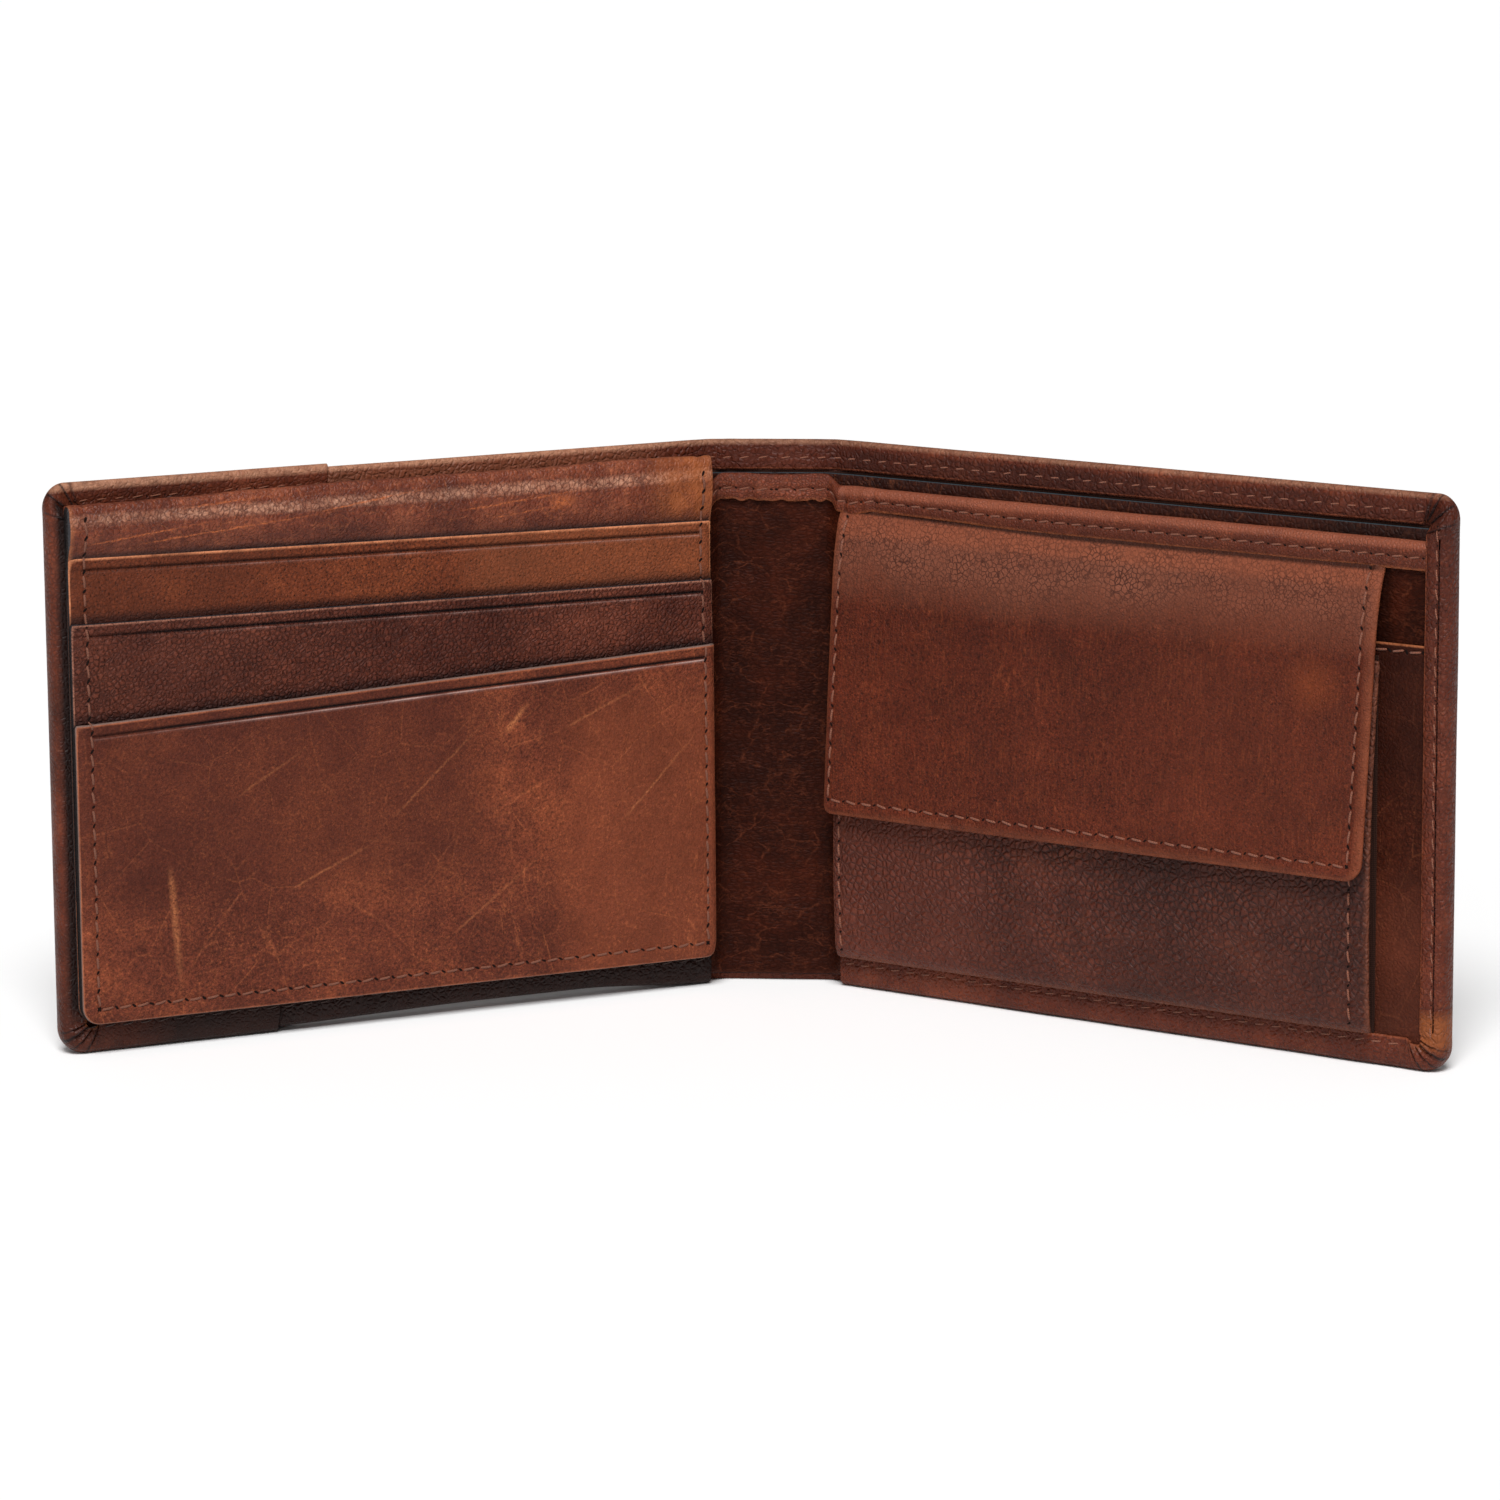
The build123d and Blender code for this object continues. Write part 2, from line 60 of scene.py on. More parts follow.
INSET = 6.5                    # the cover's flat part stops this far inside its outline
BORDER_FRONT, HEM_FRONT, HEM = 4.1, 1.25, 4.65
SIDE_SEAM, LOW_SEAM, TOP_SEAM = {"right": 2.1, "left": 3.0}, {"right": 4.0, "left": 4.35}, 2.9
CONTENT_START, CONTENT_END = 1.9, WING - 1.7
SIDES = {"left": -1, "right": 1}


def ramp(x, low, high):
    """0 below low, 1 above high, smooth in between."""
    t = np.clip((x - low) / (high - low), 0, 1)
    return t * t * (3 - 2 * t)


def bump(x, centre, width):
    """A bell of height 1."""
    return np.exp(-((x - centre) / width) ** 2)


LATTICE = np.random.default_rng(11).random((256, 256))


def noise(x, y, cell, seed=0):
    """Smooth noise from -1 to 1 with cells of that size in mm."""
    cu, cz = cell if isinstance(cell, tuple) else (cell, cell)
    x, y = np.asarray(x) / cu + 13.7 * seed, np.asarray(y) / cz + 7.9 * seed
    i, j = np.floor(x).astype(int), np.floor(y).astype(int)
    fx, fy = x - i, y - j
    fx, fy = fx * fx * (3 - 2 * fx), fy * fy * (3 - 2 * fy)
    at = lambda a, b: LATTICE[a % 256, b % 256]
    low = at(i, j) * (1 - fx) + at(i + 1, j) * fx
    high = at(i, j + 1) * (1 - fx) + at(i + 1, j + 1) * fx
    return 2 * (low * (1 - fy) + high * fy) - 1


def place(side, u, z, n):
    """Layout coordinates to metres in the row frame."""
    u, z, n = np.broadcast_arrays(np.asarray(u, float), z, n)
    t = np.clip((u + BEND) / (2 * BEND), 0, 1)
    before, after = np.minimum(u + BEND, 0), np.maximum(u - BEND, 0)
    x = -BEND * (1 - t) ** 2 + BEND * cos(FOLD) * t ** 2 + before + after * cos(FOLD)
    y = -BEND * sin(FOLD) * t ** 2 - after * sin(FOLD)
    tx, ty = 1 - t + t * cos(FOLD), -t * sin(FOLD)
    size = np.hypot(tx, ty)
    x, y = x + n * ty / size, y - n * tx / size
    return np.stack([SIDES[side] * (SPINE_HALF + x), FOLD_Y + y, z], -1) / 1000


def across_x(side, u):
    """u as one coordinate that carries on through the spine's middle, for patterns that don't mirror."""
    return SIDES[side] * (np.asarray(u) + SPINE_HALF)


def level(n):
    """A layer's n that is the same everywhere, as shell() takes it."""
    return lambda u, z, rim: n + 0 * u


def lines(low, high, step, seams=()):
    """Grid lines from low to high, closer together at the seams."""
    out = list(np.linspace(low, high, max(2, int(round((high - low) / step)) + 1)))
    for s in seams:
        out = [x for x in out if abs(x - s) > 1.15]
        out += [s + d for d in (-0.95, -0.5, -0.2, 0, 0.2, 0.5, 0.95) if low < s + d < high]
    return np.array(sorted(out))


# ---- meshes ----
FAR = 9.0               # rim of a point that is nowhere near a cut edge


def linked(name, data):
    """A new object in the scene."""
    obj = bpy.data.objects.new(name, data)
    bpy.context.scene.collection.objects.link(obj)
    return obj


def mesh_piece(name, side, lay, faces, material, rim=None, mark=None, close=False, extra=()):
    """A piece from its layout points. rim is the distance to its cut edge, mark how dark it is painted in
    folds, overlaps and iron lines, mostly as painted shade, and below zero how pale a painted highlight is.
    """
    mesh = bpy.data.meshes.new(name)
    co = place(side, lay[:, 0], lay[:, 1], lay[:, 2])
    mesh.from_pydata(co.tolist(), [], faces)
    lay = np.column_stack([across_x(side, lay[:, 0]), lay[:, 1], lay[:, 2]])
    for key, kind, value in (("lay", "FLOAT_VECTOR", lay), ("rim", "FLOAT", rim), ("mark", "FLOAT", mark)):
        if value is None:
            value = np.full(len(lay), FAR if key == "rim" else 0.0)
        field = mesh.attributes.new(key, kind, "POINT")
        field.data.foreach_set("vector" if kind == "FLOAT_VECTOR" else "value",
                               np.asarray(value, np.float32).ravel())
    bm = bmesh.new()
    bm.from_mesh(mesh)
    if close:
        bmesh.ops.holes_fill(bm, edges=[e for e in bm.edges if e.is_boundary], sides=0)
    bmesh.ops.recalc_face_normals(bm, faces=bm.faces)
    for e in bm.edges:
        if all(abs(v.co.x) < 1e-7 for v in e.verts):
            e.smooth = False
    bm.to_mesh(mesh)
    bm.free()
    for p in mesh.polygons:
        p.use_smooth = True
    for m in (material, *extra):
        mesh.materials.append(m)
    return linked(name, mesh)


def grid_faces(count_a, count_b, start=0):
    """Quads of a grid whose points are numbered a * count_b + b."""
    ids = start + np.arange(count_a * count_b).reshape(count_a, count_b)
    return np.stack([ids[:-1, :-1], ids[1:, :-1], ids[1:, 1:], ids[:-1, 1:]], -1).reshape(-1, 4).tolist()


def ring_faces(rings, sides, start=0, caps=False):
    """Quads between rings of points, and their two ends where caps are wanted."""
    ids = start + np.arange(rings * sides).reshape(rings, sides)
    near, far = ids[:-1], ids[1:]
    quads = np.stack([near, far, np.roll(far, -1, 1), np.roll(near, -1, 1)], -1).reshape(-1, 4).tolist()
    return quads + [ids[0].tolist(), ids[-1, ::-1].tolist()] if caps else quads


def rim_loop(count_a, count_b):
    """Ids round the edge of a grid."""
    ids = np.arange(count_a * count_b).reshape(count_a, count_b)
    return np.concatenate([ids[:-1, 0], ids[-1, :-1], ids[:0:-1, -1], ids[0, :0:-1]])


EDGE_TURNS = 5          # steps round a sheet's edge


def shell(name, side, u, z, front, back, material, radius=0.3, mark=None, shift=None, middle=False,
          side_rim=1.0):
    """A closed sheet with round edges. u and z are grids of its face, which stops radius inside its
    outline; front and back give n from (u, z, rim); shift moves the finished layout points. A middle
    piece starts in the middle of the spine, where its other half joins it. side_rim above 1 makes the
    wear along its two sides narrower."""
    a, b = u.shape
    near = np.full(u.shape, FAR) if middle else side_rim * np.hypot(u - u[:1], z - z[:1])
    far = side_rim * np.hypot(u - u[-1:], z - z[-1:])
    low, high = np.hypot(u - u[:, :1], z - z[:, :1]), np.hypot(u - u[:, -1:], z - z[:, -1:])
    rim = np.minimum.reduce([near, far, low, high]) + radius
    nf, nb = front(u, z, rim), back(u, z, rim)
    loop = rim_loop(a, b)
    pu, pz = u.ravel()[loop], z.ravel()[loop]
    du, dz = np.roll(pu, -1) - np.roll(pu, 1), np.roll(pz, -1) - np.roll(pz, 1)
    size = np.hypot(du, dz) + 1e-9
    ou, oz = dz / size, -du / size
    flip = np.sign(np.sum(ou * (pu - pu.mean()) + oz * (pz - pz.mean())))
    ou, oz = ou * flip, oz * flip
    if middle:
        ou = np.where(pu < u.min() + 1e-6, 0.0, ou)
    layers = [np.stack([u.ravel(), z.ravel(), n.ravel()], -1) for n in (nf, nb)]
    rims = [rim.ravel(), rim.ravel()]
    top, low = nf.ravel()[loop], nb.ravel()[loop]
    for k in range(1, EDGE_TURNS):
        angle = pi * k / EDGE_TURNS
        out = radius * sin(angle) ** 0.8
        n = (top + low) / 2 + (top - low) / 2 * cos(angle)
        layers.append(np.stack([pu + out * ou, pz + out * oz, n], -1))
        rims.append(np.full(len(loop), radius - out))
    lay, rims = np.concatenate(layers), np.concatenate(rims)
    faces = grid_faces(a, b) + [f[::-1] for f in grid_faces(a, b, a * b)]
    round_edge = [2 * a * b + k * len(loop) + np.arange(len(loop)) for k in range(EDGE_TURNS - 1)]
    rings = [loop, *round_edge, loop + a * b]
    for one, two in zip(rings, rings[1:]):
        faces += np.stack([one, np.roll(one, -1), np.roll(two, -1), two], -1).tolist()
    marks = None
    if mark is not None:
        face = mark(u, z, rim).ravel()
        marks = np.concatenate([face, 0 * face] + [face[loop] * 0.5] * (EDGE_TURNS - 1))
    if shift is not None:
        lay = shift(lay)
    return mesh_piece(name, side, lay, faces, material, rims, marks)


def rounded_grid(us, zs, radius, top=False, bottom=False):
    """Grid lines to grids whose corners are rounded at the top or bottom."""
    u, z = np.meshgrid(us, zs, indexing="ij")
    drop = np.zeros_like(z)
    if bottom:
        drop = np.maximum(drop, radius - np.minimum(z - zs[0], radius))
    if top:
        drop = np.maximum(drop, radius - np.minimum(zs[-1] - z, radius))
    pull = radius - np.sqrt(np.maximum(radius ** 2 - drop ** 2, 0))
    share = (u - (us[0] + us[-1]) / 2) / ((us[-1] - us[0]) / 2)
    return u - np.sign(share) * np.abs(share) ** 3 * pull, z


def corner_lines(low, high, step, radius, ends, seams=()):
    """Grid lines that bunch up inside the rounded corners at the named ends."""
    out = lines(low + (radius if "low" in ends else 0), high - (radius if "high" in ends else 0), step, seams)
    arc = radius * (1 - np.cos(np.linspace(0, pi / 2, 9)[:-1]))
    if "low" in ends:
        out = np.concatenate([low + arc, out])
    if "high" in ends:
        out = np.concatenate([out, (high - arc)[::-1]])
    return out


def swept(name, side, points, material, rim=None, mark=None):
    """A closed ring of layout points, points[station, ring, 3], swept along its stations and capped."""
    a, b = points.shape[:2]
    rim, mark = (None if x is None else np.broadcast_to(x, (a, b)).ravel() for x in (rim, mark))
    return mesh_piece(name, side, points.reshape(-1, 3), ring_faces(a, b), material, rim, mark, close=True)


def fold(side):
    """The bend between the spine and a wing, as done() takes it."""
    return "spine", f"{side}_wing", side, (-BEND, 0, 0), (BEND, 0, 0)


def done(piece, slot, nodes=(), body=None, bend=None):
    """Hides the CAD nodes a piece stands for and attaches it to a body; given a bend (first body, second
    body, side, layout point where it starts to bend, where it stops) instead, it only bakes the piece's
    transform in and works out the two points, which nothing uses. slot is not used."""
    if nodes:
        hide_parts(*nodes)
    if bend:
        body_a, body_b, side, start, end = bend
        start, end = (tuple(map(float, place(side, *point))) for point in (start, end))
        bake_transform(piece)
        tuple(start)
        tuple(end)
    else:
        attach(piece, body)
    return piece


# ---- materials ----
WAX_TINT = (1.0, 0.84, 0.72)        # the waxed leather's reddish cast, per colour channel
# painted shade for folds, pleats and overlaps; a painted highlight beside the iron's line; painted shade on
# cut edges behind a flap's front layer
CREASE_SHADE_DARK, PAINTED_LINE_HIGHLIGHT, EDGE_SHADE_DARK = (12, 9, 11), (176, 146, 138), (24, 19, 19)
EDGES = "DISTANCE_TO_EDGE"          # a cell pattern's feature that is 0 on its borders


def srgb(r, g, b):
    """A colour given as it looks on screen, 0 to 255."""
    lin = [c / 12.92 if c <= 0.04045 else ((c + 0.055) / 1.055) ** 2.4 for c in (r / 255, g / 255, b / 255)]
    return (*lin, 1.0)


def shaded(tone, share):
    """A screen colour made darker or lighter."""
    return tuple(min(255, share * c) for c in tone)


class Nodes:
    """Short ways to add and join shader nodes."""

    def __init__(self, name):
        self.material = bpy.data.materials.new(name)
        self.material.use_nodes = True
        self.tree = self.material.node_tree
        self.tree.nodes.clear()
        self.shader = self.add("BsdfPrincipled")
        self.put(self.add("OutputMaterial").inputs[0], self.shader.outputs[0])

    def add(self, kind, inputs=(), **fields):
        """A node with its fields set and its inputs filled, by number or by name."""
        node = self.tree.nodes.new("ShaderNode" + kind)
        for key, value in fields.items():
            setattr(node, key, value)
        for key, value in inputs.items() if isinstance(inputs, dict) else enumerate(inputs):
            self.put(node.inputs[key], value)
        return node

    def put(self, socket, value):
        if hasattr(value, "is_output"):
            self.tree.links.new(value, socket)
        else:
            socket.default_value = value

    def field(self, name):
        node = self.add("Attribute", attribute_name=name)
        return node.outputs["Vector" if name == "lay" else "Fac"]

    def xyz(self, at=None):
        """The three parts of a place: x across the spine, height and layer, unless it is another."""
        return self.add("SeparateXYZ", (self.field("lay") if at is None else at,)).outputs

    def math(self, kind, a, b=0.0):
        return self.add("Math", (a, b), operation=kind).outputs[0]

    def times(self, product, *others):
        for other in others:
            product = self.math("MULTIPLY", product, other)
        return product

    def remap(self, x, low, high, to_low=0.0, to_high=1.0):
        return self.add("MapRange", (x, low, high, to_low, to_high)).outputs[0]

    def mix(self, share, a, b):
        return self.add("Mix", {"Factor": share, 6: a, 7: b}, data_type="RGBA", blend_type="MIX").outputs[2]

    def tint(self, colour, tone, *shares):
        """The colour with a share of a screen tone mixed in; several shares multiply."""
        return self.mix(self.times(*shares), colour, srgb(*tone))

    def vector(self, kind, *inputs):
        return self.add("VectorMath", inputs, operation=kind).outputs[0]

    def scaled(self, at, scale):
        return self.vector("MULTIPLY", at, scale)

    def warped(self, at, cell, amount):
        """The place, pushed about by noise."""
        pushed = self.add("TexNoise", {"Vector": at, "Scale": 1 / cell, "Detail": 2})
        return self.vector("MULTIPLY_ADD", pushed.outputs["Color"], (amount,) * 3, at)

    def cloud(self, at, cell, detail=3.0, rough=0.55):
        inputs = {"Vector": at, "Scale": 1 / cell, "Detail": detail, "Roughness": rough}
        return self.add("TexNoise", inputs).outputs["Fac"]

    def patches(self, at, look, low, high, to_low=0.0, to_high=1.0):
        """Noise, look being its (cell, detail, rough), with its middle part spread out."""
        return self.remap(self.cloud(at, *look), low, high, to_low, to_high)

    def cells(self, at, cell, feature="F1"):
        return self.add("TexVoronoi", {"Vector": at, "Scale": 1 / cell}, feature=feature).outputs["Distance"]

    def net(self, at, cell, low, high, peak=1.0):
        """Lines between cells, peak in their middle."""
        return self.remap(self.cells(at, cell, EDGES), low, high, peak, 0.0)

    def wave(self, at, direction, scale, distortion):
        inputs = {"Vector": at, "Scale": scale, "Distortion": distortion}
        return self.add("TexWave", inputs, bands_direction=direction).outputs["Fac"]

    def streak(self, at, start, end, width):
        """1 along a rubbed line from start to end on the leather's face, frayed at its sides."""
        (u0, z0), (u1, z1) = start, end
        length, angle = sqrt((u1 - u0) ** 2 + (z1 - z0) ** 2), atan2(z1 - z0, u1 - u0)
        inputs = {"Vector": self.warped(at, 1.2, 0.5), "Location": (u0, z0, 0), "Rotation": (0, 0, angle)}
        along, beside, _ = self.xyz(self.add("Mapping", inputs, vector_type="TEXTURE").outputs[0])
        inked = self.times(self.remap(along, -0.1, 0.15 * length),
                           self.remap(along, 0.5 * length, length, 1.0, 0.0))
        inked = self.times(inked, self.remap(self.math("ABSOLUTE", beside), 0.0, width, 1.0, 0.0))
        return self.times(inked, self.patches(at, (0.5, 3.0, 0.8), 0.35, 0.6))

    def relief(self, height, depth, below=None):
        """A bump of that depth in mm, on top of an earlier one."""
        inputs = {"Distance": depth / 1000, "Strength": 1.0, "Height": height}
        if below is not None:
            inputs["Normal"] = below
        return self.add("Bump", inputs).outputs[0]

    def finish(self, colour, rough, relief=None, gloss=None):
        """Joins what was made to the shader and gives the material."""
        named = (("Base Color", colour), ("Roughness", rough),
                 ("Normal", relief), ("Specular IOR Level", gloss))
        for name, value in named:
            if value is not None:
                self.put(self.shader.inputs[name], value)
        return self.material


def leather(name, dark, mid, light, blotch=22.0, grain=1.1, grain_depth=0.10, grain_tone=0.35, pores=0.0,
            crease=9.0, crease_amount=0.35, crease_tone=(150, 92, 62), fine=0.06, wear=(150, 88, 55),
            wear_width=0.9, paint=(26, 22, 24), paint_width=0.12, rough=0.46, streaks=0.0, seed=0.0,
            flow=(1.0, 1.0, 1.0), shade=None, gloss_level=0.14, bend_lines=0.25, flecks=0.25, calm=None,
            paint_above=None, web_flow=(1.0, 0.8, 1.0), pore_cell=0.72):
    """Waxed pull-up leather: blotches, pebbled grain, pores, pale crease lines, worn rims, painted edges.
    Sizes are in mm, tones on screen, amounts from 0 to 1; calm is the heights over which grain sets in."""
    k = Nodes(name)
    at = k.vector("ADD", k.field("lay"), (seed * 37.0, seed * 91.0, seed * 11.0))
    # blotches, large and small
    big, small = k.cloud(at, blotch, 3.0, 0.6), k.cloud(at, blotch / 6, 4.0, 0.65)
    tone = k.math("ADD", k.times(big, 0.65), k.times(small, 0.35))
    colour = k.mix(k.remap(tone, 0.33, 0.5), srgb(*dark), srgb(*mid))
    colour = k.tint(colour, light, k.remap(tone, 0.5, 0.67))
    # pebbled grain: rounded cells with sunk, darker joints
    pebble = k.remap(k.cells(k.scaled(k.warped(at, 3.0, 0.8), flow), grain, EDGES), 0.0, 0.28)
    patchy = k.patches(at, (14.0, 2.0), 0.35, 0.65, 0.45, 1.0)
    if calm:
        patchy = k.times(patchy, k.remap(k.xyz()[1], *calm, 0.25, 1.0))
    sunk = k.times(k.math("SUBTRACT", 1.0, pebble), patchy)
    colour = k.tint(colour, shaded(dark, 0.45), sunk, grain_tone)
    # pores: small dark dots
    dots = k.remap(k.cells(k.warped(at, 1.3, 0.7), pore_cell), 0.05, 0.38, 1.0, 0.0)
    if pores:
        colour = k.tint(colour, shaded(dark, 0.4), dots, pores)
    # crease lines: a broken network, coarse and fine, where the wax has cracked pale
    bent = k.scaled(k.warped(at, crease * 0.8, crease * bend_lines), web_flow)
    coarse = k.times(k.net(bent, crease, 0.0, 0.17 / crease),
                     k.patches(at, (crease * 0.6, 4.0, 0.7), 0.40, 0.62))
    bent = k.scaled(k.warped(at, crease * 0.3, crease * 0.6 * bend_lines), web_flow)
    delicate = k.times(k.net(bent, crease * 0.3, 0.0, 0.45 / crease, 0.7),
                       k.patches(at, (crease * 1.3, 4.0, 0.75), 0.46, 0.66))
    cracks = k.math("MAXIMUM", coarse, delicate)
    grit = k.patches(at, (0.35, 2.0, 0.8), 0.35, 0.7, 0.35, 1.0)
    colour = k.tint(colour, crease_tone, cracks, grit, crease_amount)
    # scratches: fine streaks of rubbed wax
    if streaks:
        rub = k.patches(k.scaled(k.warped(at, 20.0, 9.0), (1.0, 0.12, 1.0)), (1.1, 4.0, 0.75), 0.56, 0.74)
        colour = k.tint(colour, crease_tone, rub, k.patches(at, (17.0, 2.0), 0.5, 0.66), streaks)
    # flecks and speckle at the scale of the leather's fibre
    area = k.patches(at, (10.0, 3.0), 0.38, 0.62, 0.25, 1.0)
    colour = k.tint(colour, crease_tone, k.patches(at, (0.75, 4.0, 0.85), 0.53, 0.72), area, flecks)
    speck = k.patches(at, (0.5, 4.0, 0.85), 0.32, 0.68, 1.0 - 3.6 * fine, 1.0 + 3.6 * fine)
    waxed = {0: k.scaled(colour, WAX_TINT), "Scale": speck}
    colour = k.add("VectorMath", waxed, operation="SCALE").outputs[0]
    if shade:
        colour = shade(k, colour)
    # rims rubbed paler, cut edges painted, near black below paint_above as painted shade of the layers
    # behind;
    # mark paints folds, overlaps and the iron's line dark, mostly painted shade, and a pale painted highlight
    # where negative
    rim, mark = k.field("rim"), k.field("mark")
    colour = k.tint(colour, wear, k.remap(rim, 0.15, wear_width, 1.0, 0.0),
                    k.remap(small, 0.3, 0.6, 0.25, 0.85))
    if paint:
        tone = srgb(*paint)
        if paint_above:
            tone = k.mix(k.remap(k.xyz()[2], paint_above - 0.2, paint_above), srgb(*EDGE_SHADE_DARK), tone)
        colour = k.mix(k.remap(rim, paint_width * 0.6, paint_width * 1.5, 1.0, 0.0), colour, tone)
    colour = k.tint(colour, CREASE_SHADE_DARK, k.remap(mark, 0.0, 1.0))
    colour = k.tint(colour, PAINTED_LINE_HIGHLIGHT, k.remap(mark, 0.0, -1.0))
    matt = k.patches(at, (3.0, 4.0, 0.7), 0.3, 0.7, rough - 0.07, rough + 0.09)
    height = k.relief(pebble, grain_depth)
    if pores:
        height = k.relief(k.times(dots, -1.0), 0.07, height)
    for rise, depth in ((k.times(cracks, -1.0), 0.05), (k.cloud(at, 0.35, 3.0, 0.7), fine),
                        (k.cloud(at, 6.0, 3.0, 0.6), 0.35)):
        height = k.relief(rise, depth, height)
    return k.finish(colour, k.math("ADD", matt, k.times(sunk, 0.15)), height, gloss_level)


def cloth(name, tone, warp=0.32):
    """Plain woven lining."""
    k = Nodes(name)
    at = k.field("lay")
    weave = k.times(*(k.wave(at, axis, 0.314 / warp, 0.4) for axis in "XY"))
    colour = k.mix(weave, srgb(*shaded(tone, 0.55)), srgb(*tone))
    colour = k.tint(colour, shaded(tone, 0.6), k.patches(at, (9.0, 4.0), 0.3, 0.7), 0.35)
    return k.finish(colour, k.remap(weave, 0.0, 1.0, 0.92, 0.78), k.relief(weave, 0.05), 0.1)


def yarn(name, tone):
    """Twisted sewing thread."""
    k = Nodes(name)
    at = k.field("lay")
    twist, fuzz = k.wave(at, "DIAGONAL", 2.2, 0.6), k.cloud(at, 0.15, 3.0, 0.7)
    colour = k.mix(twist, srgb(*shaded(tone, 0.6)), srgb(*tone))
    colour = k.tint(colour, shaded(tone, 1.35), k.remap(fuzz, 0.35, 0.7, 0.0, 0.4))
    k.shader.inputs["Sheen Weight"].default_value = 0.1
    return k.finish(colour, k.remap(fuzz, 0.3, 0.7, 0.6, 0.85), k.relief(twist, 0.06))


# dark caps at the stitch ends: painted shade standing for the depth of the needle holes
def needle_hole_shade():
    k = Nodes("needle_hole_shade")
    at = k.field("lay")
    colour = k.mix(k.cloud(at, 0.2), srgb(10, 6, 5), srgb(26, 14, 11))
    return k.finish(colour, k.patches(at, (0.3,), 0.3, 0.7, 0.75, 0.95),
                    k.relief(k.cloud(at, 0.15), 0.03), 0.1)


def metal(name):
    """Antique brass with worn highlights and tarnish."""
    k = Nodes(name)
    at = k.scaled(k.add("TexCoord").outputs["Object"], (1000.0,) * 3)
    tarnish = k.cloud(at, 0.7, 5.0, 0.7)
    colour = k.mix(k.remap(tarnish, 0.42, 0.75), srgb(172, 142, 92), srgb(118, 90, 56))
    k.shader.inputs["Metallic"].default_value = 1.0
    return k.finish(colour, k.remap(tarnish, 0.3, 0.7, 0.24, 0.5), k.relief(k.cloud(at, 0.4, 3.0), 0.02))


def rubbed(*streaks, tone=(168, 104, 62)):
    """Adds separate scars, each (start, end, width, strength) in x across the spine and z."""
    def shade(k, colour):
        at = k.field("lay")
        for start, end, width, strength in streaks:
            colour = k.tint(colour, tone, k.streak(at, start, end, width), strength)
        return colour
    return shade


def window(k, x, low, high, fade):
    """1 from low to high, fading out on both sides."""
    return k.times(k.remap(x, low - fade, low), k.remap(x, high, high + fade, 1.0, 0.0))


def band(k, low, high, fade, wander=1.5):
    """1 between two heights on the leather, with a wandering edge."""
    height, middle = k.xyz(k.warped(k.field("lay"), 9.0, wander))[1], wander / 2
    return window(k, height, low + middle, high + middle, fade)


def patch(k, x, z, fade=8.0, wander=6.0):
    """1 inside a box of the leather's face, x and z being its (low, high), fading out round it."""
    along, height, _ = k.xyz(k.warped(k.field("lay"), 12.0, wander))
    middle = wander / 2
    return k.times(window(k, along, x[0] + middle, x[1] + middle, fade),
                   window(k, height, z[0] + middle, z[1] + middle, fade))


def toned(*parts, after=None):
    """Shifts the colour in separate areas, each (x, z, share, tone) and then fade and wander if the
    edges are narrower than usual; after that comes another shade."""
    def shade(k, colour):
        for x, z, share, tone, *edges in parts:
            colour = k.tint(colour, tone, patch(k, x, z, *edges), share)
        return after(k, colour) if after else colour
    return shade


def painted_flap_shadow(k, colour):
    """Painted shadow: the left border's turned edge is painted nearly black where the card flap overhangs and
    shades it.
    """
    x, z, layer = k.xyz()
    front = k.times(k.remap(layer, 2.2, 2.9), k.remap(x, -12.0, -12.6))
    inner = k.times(k.remap(x, -124.4, -123.3), k.remap(z, 3.0, 8.0, 0.0, 0.95))
    low = k.times(k.remap(x, -120.0, -106.0, 0.3, 1.0), k.remap(z, 6.0, 5.0, 0.0, 0.92))
    return k.tint(colour, (20, 8, 6), front, k.math("MAXIMUM", inner, low))


def hem_highlight_and_shadow(k, colour):
    """The turned-in hem is darker on the right, and its top edge is painted pale as a highlight; the painted
    shadow under the card flap follows.
    """
    x, z, layer = k.xyz()
    face = k.times(k.remap(layer, 0.6, 1.0), k.remap(z, 83.0, 84.2), k.remap(z, 89.0, 88.2))
    right = k.times(k.remap(x, 8.0, 16.0), k.remap(x, 60.0, 115.0, 0.55, 0.30))
    colour = k.tint(colour, (34, 13, 9), face, right)
    # painted highlight along the hem's rounded top edge
    grit = k.patches(k.field("lay"), (1.2, 3.0, 0.7), 0.3, 0.6, 0.4, 1.0)
    top = k.times(k.remap(z, 89.0, 89.6), k.remap(x, -30.0, 10.0, 0.50, 0.28))
    return painted_flap_shadow(k, k.tint(colour, (212, 156, 124), top, grit))


